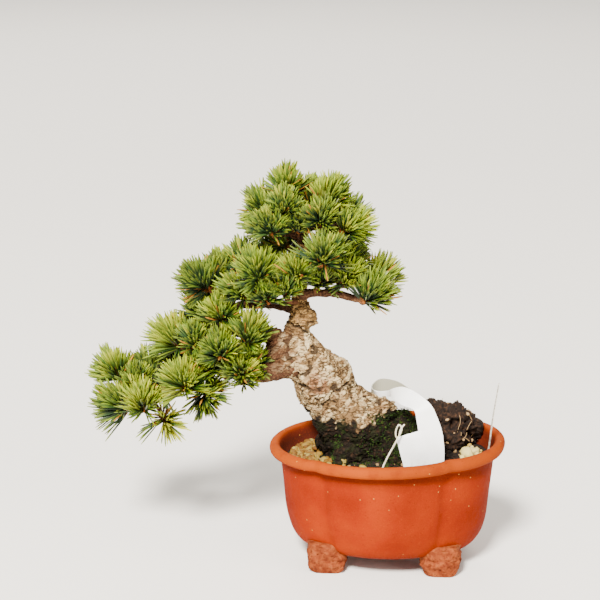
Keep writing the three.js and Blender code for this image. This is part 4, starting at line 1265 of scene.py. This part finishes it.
def trunk():
    """The old trunk with its burrs, roots and first branches under flaking bark."""
    bm = bmesh.new()
    add_limb(bm, smooth_line(TRUNK, 4), 48, plate_swell)
    stubs = [[[x, y, z, radius + 0.7] for x, y, z, radius in line[:3]] for line in BRANCHES[:2]]
    for line in [*BURRS, *ROOTS, *stubs]:
        add_limb(bm, smooth_line(line, 4), 24)
    bm = evened(bm, TRUNK_SKIN)
    names = ("fissure", "tone", "scar", "upper", "damp", "burr")
    layers = {name: bm.verts.layers.float.new(name) for name in names}
    moved = []
    for vert in bm.verts:
        point = vert.co
        upper = eased(point.z, *NECK)
        burr = 1 - eased(point.x + noise.noise(point * 0.15) * 5, *BURR_EDGE)
        fine = between(1, 0.35, eased(point.z, 150, 185))
        height, fissure, tone = bark_relief(point, upper)
        lumps = noise.fractal(point * 0.075, 1, 2.2, 3) * (2.5 + burr)
        folds = math.sin(point.z * 0.62 - point.x * 0.35 + noise.noise(point * 0.09) * 5)
        height = (height + lumps + folds * 0.35 * (1 - upper)) * fine
        height += upper * folds * 0.5
        stray = noise.noise_vector(point * 0.16) * 3.2 + noise.noise_vector(point * 0.6) * 1.2
        broken = eased(noise.noise(point * 0.2 + Vector((5, 3, 8))), -0.75, -0.2)
        fold = fold_depth(point + stray) * broken
        height += 2.4 * fold * (1 - fold) - 2.6 * fold
        scarred, rise = scar_relief(point)
        height += rise
        smooth_patch = eased(noise.noise(point * 0.06 + Vector((2, 5, 1))), 0.0, 0.35) * (1 - upper)
        smooth_patch = max(smooth_patch, eased(point.z, 104, 113) * 0.9 * (1 - upper))
        fissure *= (1 - 0.7 * scarred) * (1 - 0.6 * smooth_patch)
        wrinkle = wrinkle_depth(point) * (1 - upper)
        height -= wrinkle * 0.9
        fissure = max(fissure, wrinkle * 0.8)
        fissure = max(fissure, eased(fold, 0.35, 0.85) * (0.62 + 0.38 * tone))
        carried = (fissure, tone, scarred, upper, damp_share(point), burr)
        for name, value in zip(names, carried, strict=True):
            vert[layers[name]] = value
        moved.append(point + vert.normal * height * (1 - 0.5 * scarred) * (1 - 0.45 * smooth_patch))
    moved_to(bm, moved)
    finish_piece(bm, "trunk", BARK, "bark", "wood")


def knobbly(line, draw):
    """A line of x, y, z and radius with the small kinks and swellings of a branch."""
    kinked = []
    for i, point in enumerate(line):
        spot = point.to_3d()
        kink = noise.noise_vector(spot * 0.22) * min(point.w * 0.35, 0.8) * (0 < i < len(line) - 1)
        swell = 1 + 0.2 * noise.noise(spot * 0.45 + Vector((9, 2, 4))) + draw.uniform(-0.05, 0.08)
        kinked.append(Vector((*(spot + kink), point.w * swell)))
    return kinked


def shoot_of(spray):
    """The axis, base and tip of a spray's shoot."""
    _, at, aim, *_ = spray
    axis = Vector(aim).normalized()
    return axis, Vector(at) - axis * SHOOT["below"], Vector(at) + axis * SHOOT["above"]


def twig_line(base, axis, perches):
    """The twig from the nearest branch to a shoot's base."""
    wanted = base - axis * TWIG["back"]
    nearest = min(perches, key=lambda perch: (perch.to_3d() - wanted).length)
    start = nearest.to_3d()
    length = (base - start).length
    pulls = [start, start.lerp(base, 0.35), base - axis * 0.4 * length, base]
    thick = min(TWIG["thick"], nearest.w * 0.8)
    line = []
    for i in range(13):
        t = i / 12
        weights = [(1 - t) ** 3, 3 * t * (1 - t) ** 2, 3 * t * t * (1 - t), t**3]
        spot = sum((pull * weight for pull, weight in zip(pulls, weights, strict=True)), Vector())
        line.append(Vector((*spot, between(thick, TWIG["tip"], t))))
    return line


def branches():
    """Branches, twigs and the shoots that carry the needles."""
    bm = bmesh.new()
    bm.verts.layers.float.new("young")
    draw = random.Random(3)
    routes = [smooth_line(line, 6) for line in BRANCHES]
    for route in routes:
        add_limb(bm, knobbly(route, draw), 10, name="young", value=0)
    perches = [*smooth_line(TRUNK[12:], 6), *(point for route in routes for point in route[6:])]
    for spray in [*SPRAYS, *FILLS]:
        axis, base, tip = shoot_of(spray)
        add_limb(bm, knobbly(twig_line(base, axis, perches), draw), 8, name="young", value=0.15)
        shoot = [(*base.lerp(tip, t), between(1.5, 0.7, t)) for t in (0, 0.3, 0.6, 0.9)]
        add_limb(bm, smooth_line(shoot, 3), 8, name="young", value=1)
        add_buds(bm, axis, tip, draw)
        for aim, start, end in side_shoots(spray):
            shoot = [(*start.lerp(end, t), between(1.0, 0.6, t)) for t in (0, 0.5, 0.9)]
            add_limb(bm, smooth_line(shoot, 3), 6, name="young", value=0.9)
            add_buds(bm, aim, end, draw)
    finish_piece(bm, "branches", BRANCH_BARK, "bark", "wood")


def add_buds(bm, axis, tip, draw):
    """A few pointed buds at the end of a shoot."""
    for i in range(3):
        heading = (axis + any_way(draw) * 0.45 * (i > 0)).normalized()
        start = tip - axis * 0.8
        size = draw.uniform(0.75, 1.0)
        profile = ((0, 0.6), (1.2, 0.95), (2.4, 0.6), (3.3, 0.1))
        bud = [(*(start + heading * out), wide * size) for out, wide in profile]
        add_limb(bm, smooth_line(bud, 2), 6, name="young", value=1)


# Needles


def needle_patterns():
    """One blunt needle along +Z, at several bends towards +X."""
    patterns = []
    ends = {"radius1": 0.6, "radius2": 0.34}
    for bend in (-2.2, 0, 2.2, 4.4):
        bm = bmesh.new()
        raised = Matrix.Translation((0, 0, 0.5))
        bmesh.ops.create_cone(bm, cap_ends=True, segments=3, depth=1, matrix=raised, **ends)
        sides = [edge for edge in bm.edges if abs(edge.verts[0].co.z - edge.verts[1].co.z) > 0.5]
        bmesh.ops.subdivide_edges(bm, edges=sides, cuts=2)
        for vert in bm.verts:
            if 0.1 < vert.co.z < 0.9:
                full = 0.9 / math.hypot(vert.co.x, vert.co.y)
                vert.co.x *= full
                vert.co.y *= full
                vert.co.z = 0.45 if vert.co.z < 0.5 else 0.86
            vert.co.x += bend * vert.co.z**2
        bmesh.ops.recalc_face_normals(bm, faces=bm.faces)
        patterns.append(as_mesh(bm, "needle"))
    return patterns


def inner_faces(mesh):
    """1 for the two silvery sides of a needle and 0 for the rest."""
    found = []
    for polygon in mesh.polygons:
        turn = math.degrees(math.atan2(polygon.normal.y, polygon.normal.x))
        found.append(1 if abs(polygon.normal.z) < 0.9 and abs(turn) > 70 else 0)
    return found


def side_shoots(spray):
    """The short shoots round a spray's main one: the axis, base and tip of each."""
    axis, base, _ = shoot_of(spray)
    side, other = square_to(axis)
    found = []
    for i in range(SIDE_SHOOTS):
        turn = sum(spray[1]) + i * 2.1
        out = side * math.cos(turn) + other * math.sin(turn)
        aim = (axis * 0.6 + out * 0.8 + Vector((0, 0, 0.25))).normalized()
        start = base + axis * 1.5 * i
        found.append((aim, start, start + aim * SHOOT["side"]))
    return found


def needle_places(spray, draw):
    """Each needle of a spray as [root, heading, length, shade, age], five to a bundle."""
    _, _, _, length, count, lean = spray
    hanging = lean > HANGING_LEAN
    bundles = round(between(BUNDLES["plain"], BUNDLES["full"], (count - 13) / 4))
    shoots = [(*shoot_of(spray), BUNDLES["sparse"] if hanging else bundles, length, lean)]
    if not hanging:
        shoots += [(*shoot, BUNDLES["side"], length * 0.86, 62) for shoot in side_shoots(spray)]
    for axis, base, tip, bundles, length, lean in shoots:
        side, other = square_to(axis)
        start = draw.uniform(0, 6)
        for k in range(bundles):
            share = (k + 0.5) / bundles
            turn = start + k * GOLDEN_TURN
            out = side * math.cos(turn) + other * math.sin(turn)
            root = base.lerp(tip, 0.06 + 0.88 * share) + out * 0.7
            tilt = math.radians(between(lean, 10, share**0.75) + draw.gauss(0, 12))
            heading = axis * math.cos(tilt) + out * math.sin(tilt) + Vector((0, 0, 0.24))
            heading.normalize()
            full = length * draw.uniform(0.78, 1.12) * between(1, 0.8, share)
            # Painted light: needles pointing up, further out on the shoot and on hanging shoots get a
            # lighter shade, on top of random tone.
            lit = 0.31 + 0.16 * max(heading.z, -0.1) + 0.2 * share + draw.gauss(0, 0.17) + 0.3 * hanging
            yield from bundle(root, heading, full, lit, share, draw)


def bundle(root, heading, full, lit, share, draw):
    """Five needles from one sheath."""
    fan = draw.uniform(0, 6)
    across, upright = square_to(heading)
    spread = math.tan(math.radians(draw.uniform(4, 10)))
    for i in range(NEEDLES_A_BUNDLE):
        angle = fan + i * 2 * math.pi / NEEDLES_A_BUNDLE
        aside = across * math.cos(angle) + upright * math.sin(angle)
        ahead = (heading + aside * spread * draw.uniform(0.7, 1.2)).normalized()
        shade = lit + draw.gauss(0, 0.15)
        yield root + aside * 0.3, ahead, full * draw.uniform(0.9, 1.04), shade, 1 - share


def needles(name, material, slot, sprays, seed):
    """All the needles of some sprays as one piece that replaces their nodes."""
    draw = random.Random(seed)
    patterns = needle_patterns()
    inner = inner_faces(patterns[1])
    along = [vert.co.z for vert in patterns[1].vertices]
    bm = bmesh.new()
    shades, dryness = [], []
    for spray in sprays:
        axis, _, _ = shoot_of(spray)
        tuft = draw.gauss(0, 0.08)
        for root, heading, length, shade, old in needle_places(spray, draw):
            bend = axis * 0.6 + Vector((0, 0, 0.7)) + jitter(draw, 0.3)
            x = (bend - heading * bend.dot(heading)).normalized()
            y = heading.cross(x)
            thick = draw.uniform(0.5, 0.62)
            turned = Matrix((x * thick, y * thick, heading * length)).transposed().to_4x4()
            one = draw.choice(patterns).copy()
            one.transform(Matrix.Translation(root) @ turned)
            bm.from_mesh(one)
            bpy.data.meshes.remove(one)
            shades.append(min(max(shade + tuft, 0), 1))
            dryness.append(1 if old > 0.6 and draw.random() < 0.05 else 0)
    mesh = as_mesh(bm, name)
    carry(mesh, "shade", np.repeat(shades, len(along)))
    carry(mesh, "dry", np.repeat(dryness, len(along)))
    carry(mesh, "along", np.tile(along, len(shades)))
    carry(mesh, "inner", np.tile(inner, len(shades)), "FACE")
    for pattern in patterns:
        bpy.data.meshes.remove(pattern)
    nodes = [spray[0] for spray in sprays if spray[0]]
    place_mesh(mesh, name, material, slot, *nodes, smooth=False)


def moss():
    """Short green blades on the trunk's foot and on the soil beside it."""
    bm = bmesh.new()
    bm.verts.layers.float.new("tone")
    draw = random.Random(9)
    blade = bmesh.new()
    bmesh.ops.create_cone(blade, cap_ends=True, segments=3, radius1=0.32, radius2=0.03, depth=1)
    blade = pattern(blade, "tone")
    inverse = PLACE.inverted()
    spots = []
    for vert in bpy.data.objects["trunk"].data.vertices:
        point = inverse @ vert.co
        if MOSS_ON_TRUNK["low"] < point.z < MOSS_ON_TRUNK["high"] and point.x > MOSS_ON_TRUNK["left"]:
            patch = noise.fractal(point * 0.09 + Vector((4, 1, 2)), 1, 2, 3)
            green = 0.75 * eased(point.x, -16, -2) + patch
            if green > 0.3 and draw.random() < 0.14:
                spots.append((point, vert.normal.copy()))
    for _ in range(MOSS_TRIES):
        x, y = draw.uniform(-42, 34), draw.uniform(-40, 40)
        patch = noise.fractal(Vector((x, y, 0)) * 0.07 + Vector((1, 6, 2)), 1, 2, 3)
        near = 1 - eased(math.hypot(x - MOUND["x"], y - MOUND["y"]), 24, 42)
        if patch + near * 0.9 > 0.55:
            spots.append((Vector((x, y, on_soil(x, y))), Vector((0, 0, 1))))
    for point, normal in spots:
        tone = draw.random()
        for _ in range(2):
            heading = (normal + jitter(draw, 0.45) + Vector((0, 0, 0.3))).normalized()
            size = draw.uniform(0.8, 1.9)
            start = point + heading * size * 0.4 + jitter(draw, 0.35)
            turn = heading.to_track_quat("Z", "Y").to_matrix().to_4x4()
            standing = Matrix.Translation(start) @ turn @ Matrix.Diagonal((1, 1, size, 1))
            add_copy(bm, blade, standing, "tone", tone)
    bpy.data.meshes.remove(blade)
    finish_piece(bm, "moss", MOSS, "soil", smooth=False)


# Label, tie and wire


def label_sheet():
    """The bare label: a flat body in the soil and a narrow tail that curls back."""
    stations = [[*station["left"], *station["right"], station["bow"]] for station in LABEL]
    parts = (stations[:BODY_STATIONS], stations[BODY_STATIONS:])
    body, tail = [np.array(smooth_stations(part, 6)) for part in parts]
    rows = [*body, *[between(body[-1], tail[0], t) for t in (0.25, 0.5, 0.75)], *tail]
    columns = 14
    bm = bmesh.new()
    made = bmesh.ops.create_grid(bm, x_segments=columns, y_segments=len(rows) - 1, size=0.5)
    for vert in made["verts"]:
        share = vert.co.x + 0.5
        row = rows[round((vert.co.y + 0.5) * (len(rows) - 1))]
        left, right, bow = Vector(row[:3]), Vector(row[3:6]), row[6]
        front = (right - left).cross(Vector((0, 0, 1))).normalized()
        vert.co = left.lerp(right, share) + front * bow * 4 * share * (1 - share)
    bmesh.ops.recalc_face_normals(bm, faces=bm.faces)
    bmesh.ops.solidify(bm, geom=[*bm.faces], thickness=LABEL_THICK)
    bmesh.ops.recalc_face_normals(bm, faces=bm.faces)
    finish_piece(bm, "label_sheet", LABEL_PLASTIC, "label_plastic", "label", smooth=False)


def smooth_stations(stations, steps):
    """Stations of seven numbers each, with smooth steps between them."""
    halves = [smooth_line([station[i : i + 3] for station in stations], steps) for i in (0, 3)]
    bows = smooth_line([[station[6], 0] for station in stations], steps)
    return [[*left, *right, bow[0]] for left, right, bow in zip(*halves, bows, strict=True)]


def label_tie():
    """A stiff pale tie that ends in a small double loop beside the label."""
    line = [[*point, TIE_RADIUS] for point in TIE]
    bm = bmesh.new()
    add_limb(bm, smooth_line([*line, *TIE_LOOP], 8), 10)
    add_limb(bm, smooth_line(TIE_SECOND_TURN, 8), 10)
    finish_piece(bm, "label_tie_wire", TIE_FIBRE, "tie_fibre", "label_tie")


def anchor_wire():
    bm = bmesh.new()
    add_limb(bm, smooth_line(WIRE, 8), 12)
    finish_piece(bm, "anchor_wire_end", BARE_WIRE, "wire", "anchor_wire")


# Stage


def stage():
    """A pale floor that fills the view, a soft key light from the front, a fill and a back light."""
    bm = bmesh.new()
    bmesh.ops.create_grid(bm, x_segments=8, y_segments=8, size=FLOOR_SIZE)
    mesh = as_mesh(bm, "floor")
    mesh.materials.append(floor_finish())
    in_scene("floor", mesh)
    world = bpy.data.worlds.new("studio")
    world.use_nodes = True
    sky = world.node_tree.nodes["Background"]
    sky.inputs["Color"].default_value = (1, 0.97, 0.92, 1)
    sky.inputs["Strength"].default_value = SKY_STRENGTH
    bpy.context.scene.world = world
    for name, place, size, energy in LIGHTS:
        light = bpy.data.lights.new(name, "AREA")
        light.energy = energy
        light.size = size
        light.color = (1, 0.96, 0.9)
        lamp = in_scene(name, light)
        lamp.location = place
        towards = Vector(LIT_PLACE) - lamp.location
        lamp.rotation_euler = towards.to_track_quat("-Z", "Y").to_euler()


def camera():
    """The photograph's view of the pot and tree."""
    turn, height = math.radians(VIEW["turn"]), math.radians(VIEW["height"])
    right = Vector((math.cos(turn), math.sin(turn), 0))
    ahead = Vector((-math.sin(turn), math.cos(turn), 0))
    up = ahead * math.sin(height) + Vector((0, 0, math.cos(height)))
    back = right.cross(up)
    scale = VIEW["field"] / VIEW["size"]
    x = (RIM_CENTRE_IN_VIEW[0] - VIEW["size"] / 2) * scale
    y = (VIEW["size"] / 2 - RIM_CENTRE_IN_VIEW[1]) * scale
    target = Vector((0, 0, RIM_Z)) - right * x - up * y
    data = bpy.data.cameras.new("camera")
    data.sensor_width = 36
    data.lens = 36 * VIEW["away"] / VIEW["field"]
    eye = in_scene("camera", data)
    eye.location = PLACE @ (target + back * VIEW["away"])
    eye.rotation_euler = (-back).to_track_quat("-Z", "Y").to_euler()
    bpy.context.scene.camera = eye


# The finishes, the stones to be copied, and the whole part in order

CLAY = clay_finish()
FOOT_CLAY = foot_finish()
BARK = bark_finish()
BRANCH_BARK = branch_finish()
SOIL_MIX = soil_finish()
MOSS = moss_finish()
PEAT = peat_finish()
GOLDEN_STONE = stone_finish(
    "golden_gravel",
    (0.1, paint(81, 46, 7)),
    (0.4, paint(108, 73, 17)),
    (0.65, paint(126, 97, 33)),
    (0.9, paint(136, 121, 59)),
)
PALE_STONE = stone_finish(
    "pale_gravel",
    (0.1, paint(160, 130, 61)),
    (0.4, paint(177, 151, 78)),
    (0.65, paint(187, 168, 97)),
    (0.9, paint(196, 180, 118)),
)
LABEL_PLASTIC = label_finish()
TIE_FIBRE = thread_finish("tie_fibre", paint(196, 184, 150), paint(234, 228, 206), 0)
BARE_WIRE = thread_finish("wire", paint(150, 142, 126), paint(214, 210, 198), 0.75)

GREENS = {
    "needles_mid_green": (paint(5, 17, 5), paint(32, 64, 9), paint(104, 128, 12)),
    "needles_yellow_green": (paint(8, 20, 4), paint(48, 80, 8), paint(136, 150, 18)),
    "needles_dark_green": (paint(4, 16, 8), paint(24, 54, 17), paint(80, 110, 24)),
}

STONES = worn_stones()
BIG_STONES = worn_stones(finer=True)

camera()
stage()
pot_body()
pot_feet()
soil_ground()
gravel(
    "gravel_left_stones",
    [(GOLDEN_BED, 230, 0.8, 1.6), (GOLDEN_BED, 60, 1.4, 2.2), (FRONT_BED, 44, 1.2, 2.2)],
    PEBBLES,
    GOLDEN_STONE,
    "golden_gravel",
    "gravel_left",
    31,
)
gravel(
    "gravel_right_stones",
    [(PALE_BED, 30, 0.7, 1.5)],
    PALE_PEBBLES,
    PALE_STONE,
    "pale_gravel",
    "gravel_right",
    37,
)
peat_clod()
trunk()
branches()
moss()
label_sheet()
label_tie()
anchor_wire()
slots = {part["node"]: part["material_slot"] for part in frame["record"]["subparts"]}
for seed, (green, colours) in enumerate(GREENS.items()):
    sprays = [spray for spray in SPRAYS if slots[spray[0]] == green]
    sprays += FILLS[seed::3]
    needles(green, needle_finish(green + "_waxy", *colours), green, sprays, 100 + seed)
screen = frame["nodes"]["drain_screen"]
screen.data.materials.clear()
screen.data.materials.append(screen_finish())
